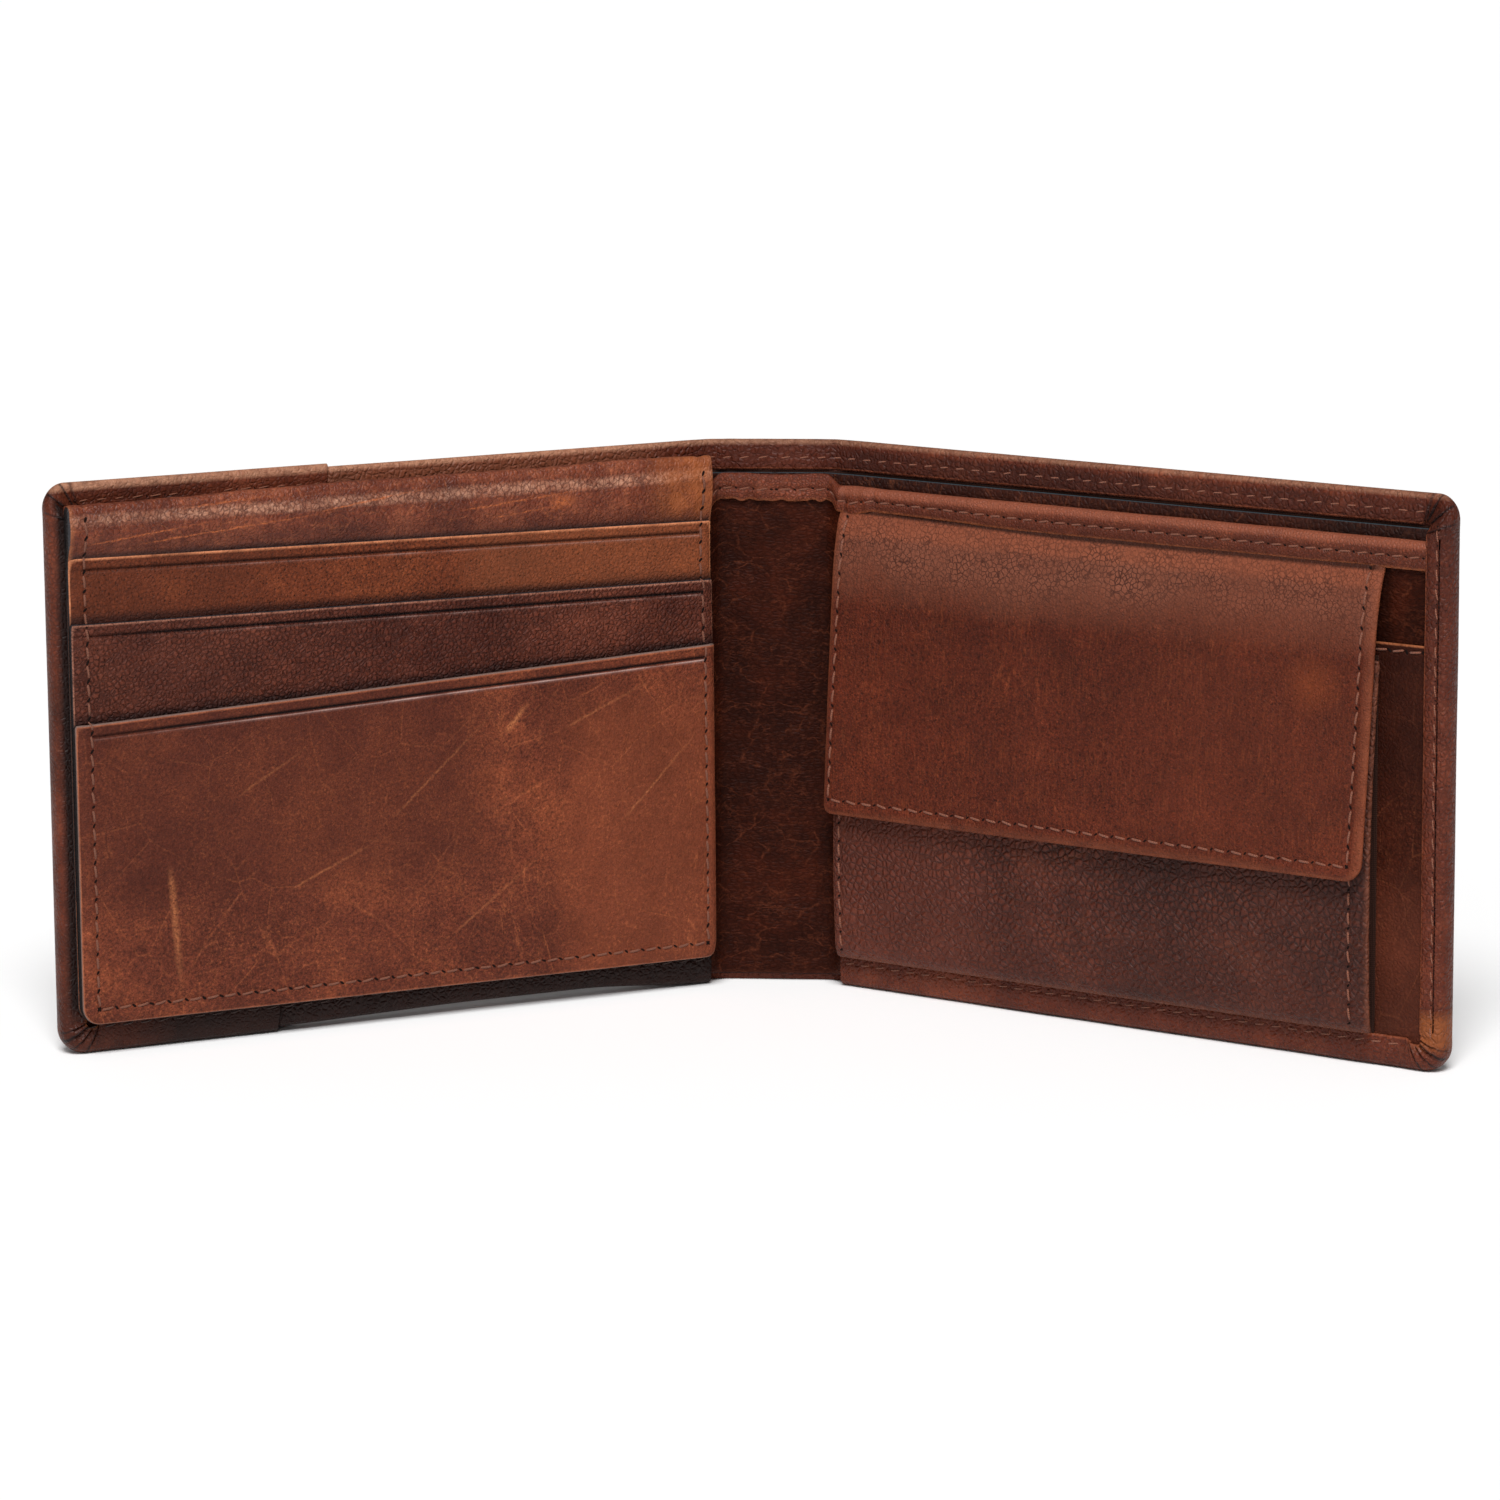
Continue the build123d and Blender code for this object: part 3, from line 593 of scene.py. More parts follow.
def coin_flap_sheen(k, colour):
    """The coin flap is painted paler and greyer where it bends, a painted sheen, and cracked there; it has
    fibres and one round spot, and a painted shadow where it comes out from under the binding."""
    at = k.field("lay")
    # painted sheen: the pale band where the flap bends
    pale = k.times(band(k, 71.5, 75.5, 7.5, 3.0), k.patches(at, (12.0, 4.0), 0.3, 0.7, 0.55, 1.0))
    colour = k.tint(colour, (142, 86, 65), pale, 0.68)
    colour = k.tint(colour, (156, 84, 56), band(k, 75.8, 79.0, 1.2, 0.6), 0.4)
    cracks = k.times(k.net(k.warped(at, 1.5, 0.6), 0.85, 0.02, 0.15),
                     k.patches(at, (6.0, 3.0), 0.30, 0.55, 0.5, 1.0))
    colour = k.tint(colour, (46, 20, 15), k.times(pale, cracks), 0.95)
    fibres = k.patches(k.scaled(k.warped(at, 6.0, 1.0), (1.0, 0.07, 1.0)), (0.36, 3.0, 0.7), 0.50, 0.72)
    fibres = k.times(fibres, k.patches(at, (9.0, 3.0), 0.35, 0.6, 0.3, 1.0))
    colour = k.tint(colour, (138, 70, 38), k.times(fibres, band(k, 30.0, 66.0, 6.0)), 0.32)
    # painted shadow just below the binding's lower edge
    x, z, _ = k.xyz(at)
    above = k.math("SUBTRACT", z, k.remap(x, 18.5, 55.5, 79.2, 78.35))
    colour = k.tint(colour, (24, 9, 6), k.remap(above, -0.75, -0.3, 0.0, 0.85))
    colour = k.tint(colour, (126, 58, 34), patch(k, (84.0, 130.0), (20.0, 68.0), 16.0), 0.10)
    middle = (across_x("right", 93.0) + 1.0, 60.5, 8.0)
    spot = k.add("VectorMath", (k.warped(at, 3.0, 2.0), middle), operation="DISTANCE").outputs["Value"]
    return k.tint(colour, (140, 66, 32), k.remap(spot, 1.5, 5.5, 0.30, 0.0))


def rolled_sheen(k, colour):
    """The rolled edge: a pale band painted as its highlight, broken by cracks from the bend, painted shadow
    above the first slot's mouth, orange creases and a rubbed end."""
    at = k.field("lay")
    x, z, layer = k.xyz(at)
    # painted highlight: the pale band round the roll
    worn = k.times(band(k, 84.9, 85.7, 0.8, 0.8), k.patches(at, (5.0, 4.0, 0.65), 0.32, 0.6, 0.25, 1.0),
                   k.patches(at, (0.9, 3.0, 0.7), 0.38, 0.6, 0.45, 1.0), k.remap(x, -120.0, -84.0, 0.6, 1.0))
    colour = k.tint(colour, (206, 152, 124), worn, 0.72)
    cracks = k.net(k.scaled(k.warped(at, 0.8, 0.7), (1.0, 0.8, 1.0)), 0.85, 0.02, 0.15)
    colour = k.tint(colour, (74, 32, 20), k.times(cracks, band(k, 84.3, 86.3, 0.7)), 0.7)
    ends = (across_x("left", FLAP_END), across_x("left", FLAP_START))
    above = k.math("SUBTRACT", z, k.remap(x, *map(float, ends), *EDGE_ONE[::-1]))
    # painted shadow just above the first slot's mouth
    skin = k.times(k.remap(above, -6.0, -3.0), k.remap(layer, 4.88, 4.98))
    colour = k.tint(colour, (62, 26, 18), skin, k.remap(above, 0.3, 3.4, 0.45, 0.0))
    colour = k.tint(colour, (34, 12, 7), skin, k.remap(above, 0.15, 0.95, 0.8, 0.0))
    colour = ROLL_CREASES(k, colour)
    x, z, _ = k.xyz(k.warped(at, 4.0, 3.0))
    end = k.times(k.remap(x, -24.0, -18.5), k.patches(at, (2.5, 4.0), 0.3, 0.55, 0.35, 1.0),
                  k.remap(z, 79.0, 82.0))
    return k.tint(colour, (158, 86, 44), end, 0.7)


# the card flap's outline and its slots' mouths, each (height at the spine side, at the outer side)
FLAP_START, FLAP_END, FLAP_BOTTOM = 2.0, 112.2, 5.3
EDGE_ONE, EDGE_TWO, EDGE_THREE = (77.6, 79.4), (68.0, 69.05), (57.5, 53.2)
TOP_STRIP, UPPER_SLOTS = (84.0, 95.0), (50.0, 90.0)        # heights that areas of tone share
ROLL_CREASES = rubbed(
    ((-120.0, 81.6), (-98.0, 84.2), 0.22, 1.0), ((-112.0, 81.2), (-76.0, 84.4), 0.20, 1.0),
    ((-82.0, 84.2), (-60.0, 87.0), 0.22, 0.9), ((-104.0, 86.4), (-88.0, 87.4), 0.20, 0.8),
    ((-58.0, 82.6), (-34.0, 84.8), 0.22, 0.8), ((-52.0, 81.0), (-40.0, 82.4), 0.20, 0.8),
    ((-42.0, 82.4), (-37.0, 83.4), 1.50, 0.85), tone=(186, 100, 54))
SLOT_THREE_SCARS = rubbed(
    ((-50.2, 46.3), (-45.8, 51.3), 0.6, 1.0), ((-107.6, 30.0), (-106.0, 9.0), 0.8, 0.7),
    ((-88.0, 24.0), (-72.0, 31.0), 0.30, 0.5), ((-60.0, 14.0), (-44.0, 26.0), 0.30, 0.4),
    ((-40.0, 46.0), (-24.0, 53.0), 0.30, 0.5), ((-30.0, 30.0), (-16.0, 44.0), 0.30, 0.5),
    ((-70.0, 34.0), (-52.0, 50.0), 0.30, 0.4), ((-96.0, 40.0), (-84.0, 47.0), 0.30, 0.4), tone=(184, 112, 70))

COVER = leather(
    "cover", (68, 30, 20), (90, 43, 30), (116, 61, 43), grain=0.9, grain_depth=0.14, grain_tone=0.38,
    pores=0.35, pore_cell=0.8, crease_amount=0.25, paint=None, wear_width=0.35, rough=0.42, gloss_level=0.17,
    wear=(132, 70, 46), calm=(2.0, 45.0),
    # painted light: the hem paler on the left; painted shade: darker across the spine; then an orange patch
    # at the lower right corner
    shade=toned(((-130.0, -26.0), TOP_STRIP, 0.30, (156, 96, 68)),
                ((-13.0, 13.0), TOP_STRIP, 0.52, (60, 20, 8)),
                ((120.5, 124.5), (5.0, 8.5), 0.6, (146, 82, 42), 2.0, 1.0), after=hem_highlight_and_shadow))
COVER_END = leather(
    "cover_end", (62, 28, 18), (90, 44, 30), (124, 68, 49), grain=0.75, grain_depth=0.08, grain_tone=0.45,
    crease_amount=0.25, paint=None, wear_width=0.5, seed=3, rough=0.40, gloss_level=0.17, calm=(2.0, 45.0),
    shade=hem_highlight_and_shadow)
DIVIDER = leather(
    "divider", (34, 14, 10), (49, 22, 15), (70, 34, 24), grain=0.9, paint=(50, 60, 66), paint_width=0.08,
    wear_width=0.3, wear=(44, 22, 17), seed=5,
    # painted shade: darker towards the right corner, under the hem
    shade=toned(((106.0, 130.0), (80.0, 95.0), 0.6, (12, 5, 4), 16.0, 2.0)))
INNER = leather(
    "inner", (28, 9, 5), (43, 16, 8), (64, 26, 14), grain=0.75, grain_depth=0.08, grain_tone=0.4, crease=4.0,
    crease_amount=0.5, crease_tone=(118, 66, 46), seed=6, flow=(0.6, 1.25, 1.0), gloss_level=0.05,
    wear=(62, 30, 20), bend_lines=0.8, web_flow=(0.4, 1.15, 1.0), flecks=0.15,
    # painted shadow: nearly black in the narrow strip beside the coin flap's outer edge
    shade=toned(((111.0, 113.8), (60.0, 90.0), 0.5, (12, 5, 3), 1.4, 0.4)))
BINDING = leather(
    "binding", (88, 41, 27), (103, 50, 33), (122, 64, 43), grain=0.55, grain_depth=0.09, grain_tone=0.5,
    blotch=7.0, wear=(156, 88, 54), wear_width=0.45, paint=None, seed=7, crease=3.0, crease_amount=0.35,
    gloss_level=0.22, fine=0.09, rough=0.40,
    # painted highlight along the rounded top; painted shade over the lower part
    shade=toned(((13.0, 130.0), (82.0, 95.0), 0.32, (176, 104, 78), 0.7, 0.4),
                ((20.0, 130.0), (70.0, 80.4), 0.38, (62, 25, 14), 1.4, 0.6)))
FLAP = leather(
    "card_flap", (76, 34, 23), (106, 53, 36), (142, 82, 58), grain=0.8, grain_depth=0.09, grain_tone=0.3,
    flecks=0.15, crease=3.2, crease_amount=0.5, crease_tone=(180, 114, 78), seed=8, rough=0.38,
    paint=(50, 50, 54), paint_above=6.4, blotch=9.0, gloss_level=0.26, fine=0.10, bend_lines=0.5,
    shade=rolled_sheen)
SLOT_ONE = leather(
    "slot_one", (88, 44, 26), (109, 56, 34), (134, 74, 44), grain=0.75, grain_depth=0.07, grain_tone=0.5,
    pores=0.95, pore_cell=0.55, crease_amount=0.15, seed=9, paint=(40, 38, 42), paint_above=5.4,
    wear=(226, 146, 102), wear_width=0.6, fine=0.13,
    # painted shade: darker at the outer end; lighter towards the spine
    shade=toned(((-130.0, -92.0), UPPER_SLOTS, 0.35, (74, 34, 20)),
                ((-52.0, 0.0), UPPER_SLOTS, 0.25, (150, 86, 54))))
SLOT_TWO = leather(
    "slot_two", (66, 31, 24), (88, 47, 37), (112, 63, 49), grain=0.8, grain_depth=0.20, grain_tone=0.62,
    pores=0.4, crease=3.5, crease_amount=0.3, crease_tone=(140, 78, 54), seed=10, paint=(40, 38, 42),
    paint_above=6.1, wear=(176, 120, 98), wear_width=0.5, fine=0.12, flecks=0.12,
    # painted shade: darker at the outer end
    shade=toned(((-130.0, -96.0), UPPER_SLOTS, 0.3, (54, 24, 18))))
SLOT_THREE = leather(
    "slot_three", (76, 36, 26), (98, 50, 36), (123, 66, 44), grain=0.5, grain_depth=0.04, grain_tone=0.3,
    crease=11.0, crease_amount=0.6, crease_tone=(166, 100, 66), streaks=0.6, seed=11, paint=(118, 94, 86),
    paint_above=6.9, wear=(178, 104, 70), wear_width=0.5, fine=0.19, blotch=20.0, bend_lines=0.14,
    paint_width=0.16, flecks=0.65,
    # painted shade: darker over the upper outer part; lighter and redder near the spine; then scars
    shade=toned(((-130.0, -58.0), (28.0, 90.0), 0.48, (66, 27, 18)),
                ((-36.0, 0.0), (0.0, 46.0), 0.28, (146, 74, 44)),
                after=SLOT_THREE_SCARS))
COIN_FRONT = leather(
    "coin_front", (58, 27, 20), (81, 41, 32), (104, 56, 42), grain=1.05, grain_depth=0.20, grain_tone=1.0,
    crease_amount=0.2, seed=12, paint=None, rough=0.42, wear=(108, 60, 42), gloss_level=0.18,
    calm=(5.0, 24.0), fine=0.11,
    shade=toned(((70.0, 130.0), (0.0, 90.0), 0.40, (50, 23, 17)),
                ((0.0, 40.0), (0.0, 90.0), 0.30, (108, 54, 40))))
COIN_FLAP = leather(
    "coin_flap", (69, 29, 19), (83, 36, 23), (99, 45, 29), grain=0.5, grain_depth=0.06, grain_tone=0.4,
    pores=0.7, pore_cell=0.6, crease_amount=0.15, crease_tone=(148, 80, 50), seed=13, paint=None,
    wear=(126, 66, 42), wear_width=1.7, blotch=30.0, shade=coin_flap_sheen, fine=0.16, streaks=0.55, flecks=0.35)
SLIP = leather(
    "slip", (43, 17, 10), (63, 28, 18), (89, 44, 30), grain=0.7, grain_depth=0.06, seed=14, paint=None,
    crease_amount=0.3, wear=(160, 94, 60), wear_width=0.4, fine=0.11, gloss_level=0.08,
    # painted shadow over the upper part, below the coin flap; painted light on the lower part
    shade=toned(((60.0, 130.0), (48.0, 90.0), 0.6, (32, 11, 6)),
                ((60.0, 130.0), (0.0, 24.0), 0.3, (98, 52, 38))))
LINING = cloth("lining", (66, 38, 29))
THREAD = yarn("thread", (126, 70, 46))
FLAP_THREAD = yarn("flap_thread", (122, 70, 48))
EDGE_THREAD = yarn("edge_thread", (132, 76, 52))
# a dark copy of the edge thread: painted shade for the left border's seam under the card flap
SHADOWED_THREAD = yarn("shadowed_thread", (54, 30, 21))
HOLE_SHADE = needle_hole_shade()
BRASS = metal("brass")


# ---- stitches ----
CAPSULE_RINGS, CAPSULE_SIDES, HOLE_SIDES = 7, 8, 10
SLANT = 0.15                    # how far a stitch leans aside at its ends
NEEDLE_HOLE = ((1.0, -0.12), (0.95, 0.03), (0.55, 0.055))      # (share of its outline, height) down its lip
HOLE_LONG, HOLE_SHORT = 0.48, 0.20
INWARD = np.array([0, 0, 1.0])


def unit(vector):
    return vector / np.linalg.norm(vector)


def stitch_row(name, side, path, nodes=(), pitch=3.0, outward=1, thick=0.17, hole_turn=0.6, transform=None,
               thread=None, hole=1.0, **moves):
    """A seam: one capsule a stitch, sunk at both ends into slanted needle holes, drawn as dark caps of
    painted shade. path is layout points on the leather's face; outward is -1 on the outside of the cover;
    done() takes nodes and moves."""
    path = np.asarray(path, float)
    along = np.concatenate([[0], np.cumsum(np.linalg.norm(np.diff(path, axis=0), axis=1))])
    total = along[-1]
    ends = np.linspace(0, total, max(1, int(round(total / pitch))) + 1)
    rng = np.random.default_rng(len(name) * 7 + int(total))
    points, faces, kinds = [], [], []

    def at(s):
        return np.stack([np.interp(s, along, path[:, k]) for k in range(3)], -1)

    def add(rings, kind):
        """Takes a closed form, rings[ring, side, 3], with its kind of material."""
        made = ring_faces(rings.shape[0], rings.shape[1], sum(map(len, points)), caps=True)
        points.append(rings.reshape(-1, 3))
        faces.extend(made)
        kinds.extend([kind] * len(made))

    t = np.linspace(-1, 1, CAPSULE_RINGS)[:, None, None]
    wide = thick * np.sqrt(np.maximum(0.0, 1 - np.abs(t) ** 5)) + 0.02
    rise = 0.10 - 0.30 * np.abs(t) ** 2.5
    turn = np.linspace(0, 2 * pi, CAPSULE_SIDES, endpoint=False)[:, None]
    for a, b in zip(ends, ends[1:]):
        middle = at(a + (b - a) * np.linspace(0.10, 0.90, CAPSULE_RINGS))[:, None]
        lateral = unit(np.cross(unit(at(b) - at(a)), INWARD))
        sway = (0.05 * rng.normal() - SIDES[side] * SLANT) * t
        add(middle + (sway + wide * np.cos(turn)) * lateral
            + INWARD * outward * (rise + 0.8 * wide * np.sin(turn)), 0)
    turn = np.linspace(0, 2 * pi, HOLE_SIDES, endpoint=False)[:, None]
    for s in ends:
        tangent = unit(at(min(s + 0.5, total)) - at(max(s - 0.5, 0)))
        lean = SIDES[side] * hole_turn + 0.15 * rng.normal()
        long = unit(np.cross(tangent, INWARD)) * cos(lean) + tangent * sin(lean)
        outline = HOLE_LONG * np.cos(turn) * long + HOLE_SHORT * np.sin(turn) * np.cross(long, INWARD)
        add(np.array([at(s) + hole * share * outline + INWARD * outward * lift
                      for share, lift in NEEDLE_HOLE]), 1)
    lay = np.concatenate(points)
    piece = mesh_piece(name, side, transform(lay) if transform else lay, faces, thread or THREAD,
                       extra=(HOLE_SHADE,))
    piece.data.polygons.foreach_set("material_index", np.array(kinds, np.int32))
    return done(piece, "thread", nodes, **moves)


# ---- the cover: a flat sheet whose edges are turned in along its outline ----
SEAM_FOOT, SEAM_HEAD = 78.7, 67.0       # u of the slanted seam in the left cover
SIDE_WIDTH, LOW_WIDTH = 4.0, 5.0        # of the border's turned edge
PLAIN_LEVEL, PLAIN_WIDTH, LAPPED_LEVEL = 0.5, 0.9, -0.53
# a turned edge's points: from the first of its arc on, the arc's middle, its face, the face's end,
# the rim's end
APPROACH, ARC_POINTS, ARC_MIDDLE, FACE_START, FACE_END, RIM_END = (0.2, 0.4, 0.55, 0.68), 11, 10, 15, 23, 26


def seam_at(z):
    """u of the slanted seam in the left cover."""
    return SEAM_FOOT + (SEAM_HEAD - SEAM_FOOT) * z / HEIGHT


def lift_at(u):
    """How far the left cover's bottom edge is cut above the surface it stands on."""
    return 1.3 * ramp(u, 3.0, 26.0) * (1 - 0.45 * ramp(u, 45.0, 78.0))


def hem_front(side, u):
    """n of the turned hem's face, creased where it crosses the spine."""
    x, spine = across_x(side, u), 1 - ramp(u, -1.0, 9.0)
    return (HEM_FRONT + 0.10 * noise(x, 0 * u, 7.0, 3) + spine * (0.22 * noise(x, 0 * u, 1.9, 4) - 0.05)
            - 0.30 * bump(u, 0.0, 1.3))


def border_front(side, u, along=0.0):
    return BORDER_FRONT + 0.12 * noise(across_x(side, u), along, 8.0, 5)


def corner_points(top):
    """(share, point) round a corner of the outline: a straight bit, the arc and a straight bit. It is the
    upper corner where top is given, and the lower one where it is None."""
    upper, straight, arc = top is not None, INSET - CORNER, CORNER * pi / 2
    cu, cz = WING - CORNER, top - CORNER if upper else CORNER
    out = []
    for share in np.linspace(0, 1, 61)[1:-1]:
        d = share * (2 * straight + arc)
        if d < straight:
            point = (cu - straight + d, cz + CORNER) if upper else (cu + CORNER, cz + straight - d)
        elif d < straight + arc:
            angle = radians(90.0 if upper else 0.0) - (d - straight) / CORNER
            point = (cu + CORNER * cos(angle), cz + CORNER * sin(angle))
        else:
            d -= straight + arc
            point = (cu + CORNER, cz - d) if upper else (cu - d, cz - CORNER)
        out.append((share, point))
    return out


def outline(columns, rows, top, corner):
    """Runs of stations round the outline, each (index of the flat part's point, outer point, share of its
    corner or None, which edge)."""
    upper = [((i, -1), (u, top), None, "top") for i, u in enumerate(columns)]
    lower = [((i, 0), (columns[i], 0.0), None, "bottom") for i in range(len(columns) - 1, -1, -1)]
    if not corner:
        return [upper, lower]
    beside = [((-1, j), (WING, rows[j]), None, "side") for j in range(len(rows) - 1, -1, -1)]
    top_corner = [((-1, -1), point, s, "top_corner") for s, point in corner_points(top)]
    low_corner = [((-1, 0), point, s, "low_corner") for s, point in corner_points(None)]
    return [upper + top_corner + beside + low_corner + lower]


def edge_look(side, edge, share, u, z):
    """(n of the turned edge's face, its width) at a station."""
    if edge == "top_corner":
        return (HEM_FRONT + (BORDER_FRONT - HEM_FRONT) * ramp(share, 0.25, 0.9),
                HEM - (HEM - SIDE_WIDTH) * ramp(share, 0.2, 0.9))
    return {"top": lambda: (hem_front(side, u), HEM),
            "side": lambda: (border_front(side, z, 1.0), SIDE_WIDTH),
            "bottom": lambda: (border_front(side, u, 2.0), LOW_WIDTH),
            "low_corner": lambda: (BORDER_FRONT, SIDE_WIDTH + ramp(share, 0.2, 0.9))}[edge]()


def gathers(edge, share):
    """(lift, painted shade in the folds) of the pleats that a corner is gathered in."""
    if share is None:
        return 0.0, 0.0
    count = 5.3 if edge == "top_corner" else 7.0
    middle = ramp(share, 0.08, 0.25) * (1 - ramp(share, 0.75, 0.92))
    f = (share * count + 0.25 * sin(5 * share) + 0.14 * sin(23 * share)) % 1.0
    return middle * 0.95 * (f ** 0.6 - 0.6), middle * float(bump(f, 0.0, 0.12) + bump(f, 1.0, 0.12))


def turned_edge(reach, outer_n, inner_n, level, width, seam, pleat, plain):
    """(distance in from the outline, n) of the leather from the flat part's outside, round the edge, along
    the turned face and under it to the flat part's inside."""
    round_d = min(1.5, (level - outer_n) * 0.6)
    path = [(reach * (1 - f), outer_n) for f in APPROACH]
    for a in np.linspace(0, pi, ARC_POINTS):
        path.append((round_d * (1 - sin(a) ** 0.75), (level + outer_n) / 2 - (level - outer_n) / 2 * cos(a)))
    face = np.linspace(round_d, width, FACE_END - FACE_START + 1)[1:]
    stitched = seam and not plain
    if stitched:
        face = [round_d + 0.3, *(seam + d for d in (-0.55, -0.2, 0, 0.2, 0.55)),
                (seam + 0.55 + width) / 2, width]
    for d in face:
        pillow = 0.16 * sin(pi * min(1, max(0, (d - round_d) / max(0.1, width - round_d))))
        dent = -0.08 * float(bump(d, seam, 0.28)) if stitched else 0.0
        path.append((d, level + (0 if plain else pillow + dent) + pleat * ramp(d, 0.6, 2.0)))
    thick = 0.05 if plain else (0.5 if level > 2 else 0.45)
    end, under = path[-1][1], min(width - 0.1, 1.5)
    back = inner_n + 0.02 if plain else max(level - 0.55, inner_n + 0.06)
    return path + [(width + 0.14, end - thick * 0.25), (width + 0.14, end - thick * 0.75),
                   (width, end - thick),
                   (under, back), (1.15, (back * 3 + inner_n) / 4), (1.15, (back + inner_n * 3) / 4),
                   (under, inner_n + (0.01 if plain else 0.02)), (reach * 0.6, inner_n)]


def cover_piece(name, side, columns, material, top=HEIGHT, corner=True, strip_from=-99.0, border_from=2.0,
                warp=None, lap=None, lift=None, drop=None):
    """Part of the cover. columns are its u lines up to the flat part's end. Its edge is cut plain before
    strip_from, and its bottom edge before border_from. From lap back it lies over another part, and lift,
    drop and warp move its points."""
    rows = lines(INSET, top - INSET, 1.6)
    u, z = np.meshgrid(columns, rows, indexing="ij")
    ids = np.arange(u.size).reshape(u.shape)
    outer_n, inner_n = np.full(u.shape, -0.5), np.full(u.shape, 0.5)
    if lap:
        s = 1 - ramp(u, lap, lap + 1.4)
        outer_n, inner_n = outer_n - 0.6 * s, inner_n - 1.03 * s
    outer_n = outer_n + 0.12 * noise(across_x(side, u), z, 16.0, 1)
    points = [np.stack([u.ravel(), z.ravel(), n.ravel()], -1) for n in (outer_n, inner_n)]
    rims, marks = [np.full(2 * u.size, 9.0)], [np.zeros(2 * u.size)]
    faces = grid_faces(*u.shape) + [f[::-1] for f in grid_faces(*u.shape, u.size)]
    base = 2 * u.size
    for run in outline(columns, rows, top, corner):
        ring_ids = []
        for at, (ou, oz), share, edge in run:
            iu, iz = u[at], z[at]
            level, width = edge_look(side, edge, share, ou, oz)
            pleat, folded = gathers(edge, share)
            plain = (edge == "bottom" and ou < border_from) or ou < strip_from
            if plain:
                level, width = LAPPED_LEVEL if lap else PLAIN_LEVEL, PLAIN_WIDTH
            reach = sqrt((ou - iu) ** 2 + (oz - iz) ** 2)
            seam = {"top": TOP_SEAM, "side": SIDE_SEAM[side], "bottom": LOW_SEAM[side]}.get(edge)
            path = turned_edge(reach, float(outer_n[at]), float(inner_n[at]), level, width,
                               seam, pleat, plain)
            du, dz = (iu - ou) / reach, (iz - oz) / reach
            shift = lift(ou) if (lift and edge == "bottom") else 0.0
            points.append(np.array([(ou + du * d, oz + dz * d + shift * (1 - min(1, d / INSET)), n)
                                    for d, n in path]))
            depth, step = np.array([d for d, n in path]), np.arange(len(path))
            face = (step >= FACE_START) & (step < RIM_END)
            rims.append(np.where(face, np.clip(width + 0.14 - depth, 0, 9), 9.0))
            # painted shade in the pleats' folds, carried by mark
            marks.append(((step >= ARC_MIDDLE) & (step < FACE_END)) * folded * 0.95)
            ring_ids.append([ids[at], *range(base, base + len(path)), ids[at] + u.size])
            base += len(path)
        for one, two in zip(ring_ids, ring_ids[1:]):
            for k in range(len(one) - 1):
                quad = [one[k], two[k], two[k + 1], one[k + 1]]
                faces.append([v for i, v in enumerate(quad) if v not in quad[:i]])
    lay = np.concatenate(points)
    if drop:
        lay[:, 1] = drop(lay[:, 0], lay[:, 1])
    if warp:
        lay[:, 0] = warp(lay[:, 0], lay[:, 1])
    return mesh_piece(name, side, lay, faces, material, np.concatenate(rims),
                      np.concatenate(marks), close=True)


def slant(u, z):
    """The left cover's main part, whose end follows the slanted seam."""
    return u + np.where(u > 20, (u - 20) / (SEAM_END - 20), 0) * (seam_at(z) - seam_at(0))


def end_slant(u, z):
    """The left cover's outer end, whose start follows the slanted seam."""
    return u + np.clip((FLAT_END - u) / (FLAT_END - SEAM_FOOT), 0, 1.12) * (seam_at(z) - seam_at(0))


def end_drop(u, z):
    """The outer end's cut edge comes down to the main part's height inside the hem."""
    return z - 0.9 * (1 - ramp(u, 78.3, 78.75)) * ramp(z, 86.0, 90.0)


SEAM_END, FLAT_END = 78.6, WING - INSET
near_fold = [lines(SPINE_MID, 1.85, 0.6), [1.95, 2.05]]
cover_right = cover_piece("cover_right_leather", "right",
                          np.concatenate([*near_fold, lines(2.6, FLAT_END, 1.0)]), COVER)
done(cover_right, "cover_leather", ["cover_right", "cover_spine"], bend=fold("right"))
cover_left = cover_piece("cover_left_leather", "left",
                         np.concatenate([*near_fold, lines(2.6, SEAM_END, 1.0)]), COVER,
                         corner=False, warp=slant, lift=lift_at)
done(cover_left, "cover_leather", ["cover_left", "cover_spine"], bend=fold("left"))
end_columns = np.concatenate([lines(74.8, SEAM_END, 0.6), [78.72, 78.84], lines(79.4, FLAT_END, 1.0)])
cover_end = cover_piece("cover_left_end_leather", "left", end_columns, COVER_END, top=HEIGHT + END_STEP,
                        strip_from=SEAM_FOOT, border_from=SEAM_FOOT, warp=end_slant, lap=77.4, drop=end_drop)
done(cover_end, "cover_leather", ["cover_left_end"], body="left_wing")


# ---- sheets that carry on across the spine ----
def across(u, wing, spine):
    """A value that changes from its spine figure to its wing figure at the fold."""
    return spine + (wing - spine) * ramp(u, -1.9, 1.9)


def half_sheet(name, side, layer_wing, layer_spine, top, bottom, material, step=2.0, radius=0.15, sag=None):
    """Half of a sheet from the spine's middle to the wing's end. Layers are its back and front n; top and
    bottom are its heights in the wing and in the spine."""
    us = np.concatenate([lines(SPINE_MID, 6.0, min(step, 0.8)),
                         lines(6.0 + step, CONTENT_END - radius, step)])
    u, share = np.meshgrid(us, lines(0.0, 1.0, step / 84.0), indexing="ij")
    low, high = across(u, *bottom) + radius, across(u, *top) - radius
    back, front = (lambda u, z, rim, k=k: (across(u, layer_wing[k], layer_spine[k])
                                           + (sag(side, u, z) if sag else 0))
                   for k in (0, 1))
    return shell(name, side, u, low + (high - low) * share, front, back, material, radius=radius, middle=True)


def spine_hollow(side, u, z):
    """The inner leather hangs a little slack across the spine."""
    return 0.22 * (1 - ramp(u, -4.0, 2.0)) * noise(across_x(side, u), z, (9.0, 5.0), 21)


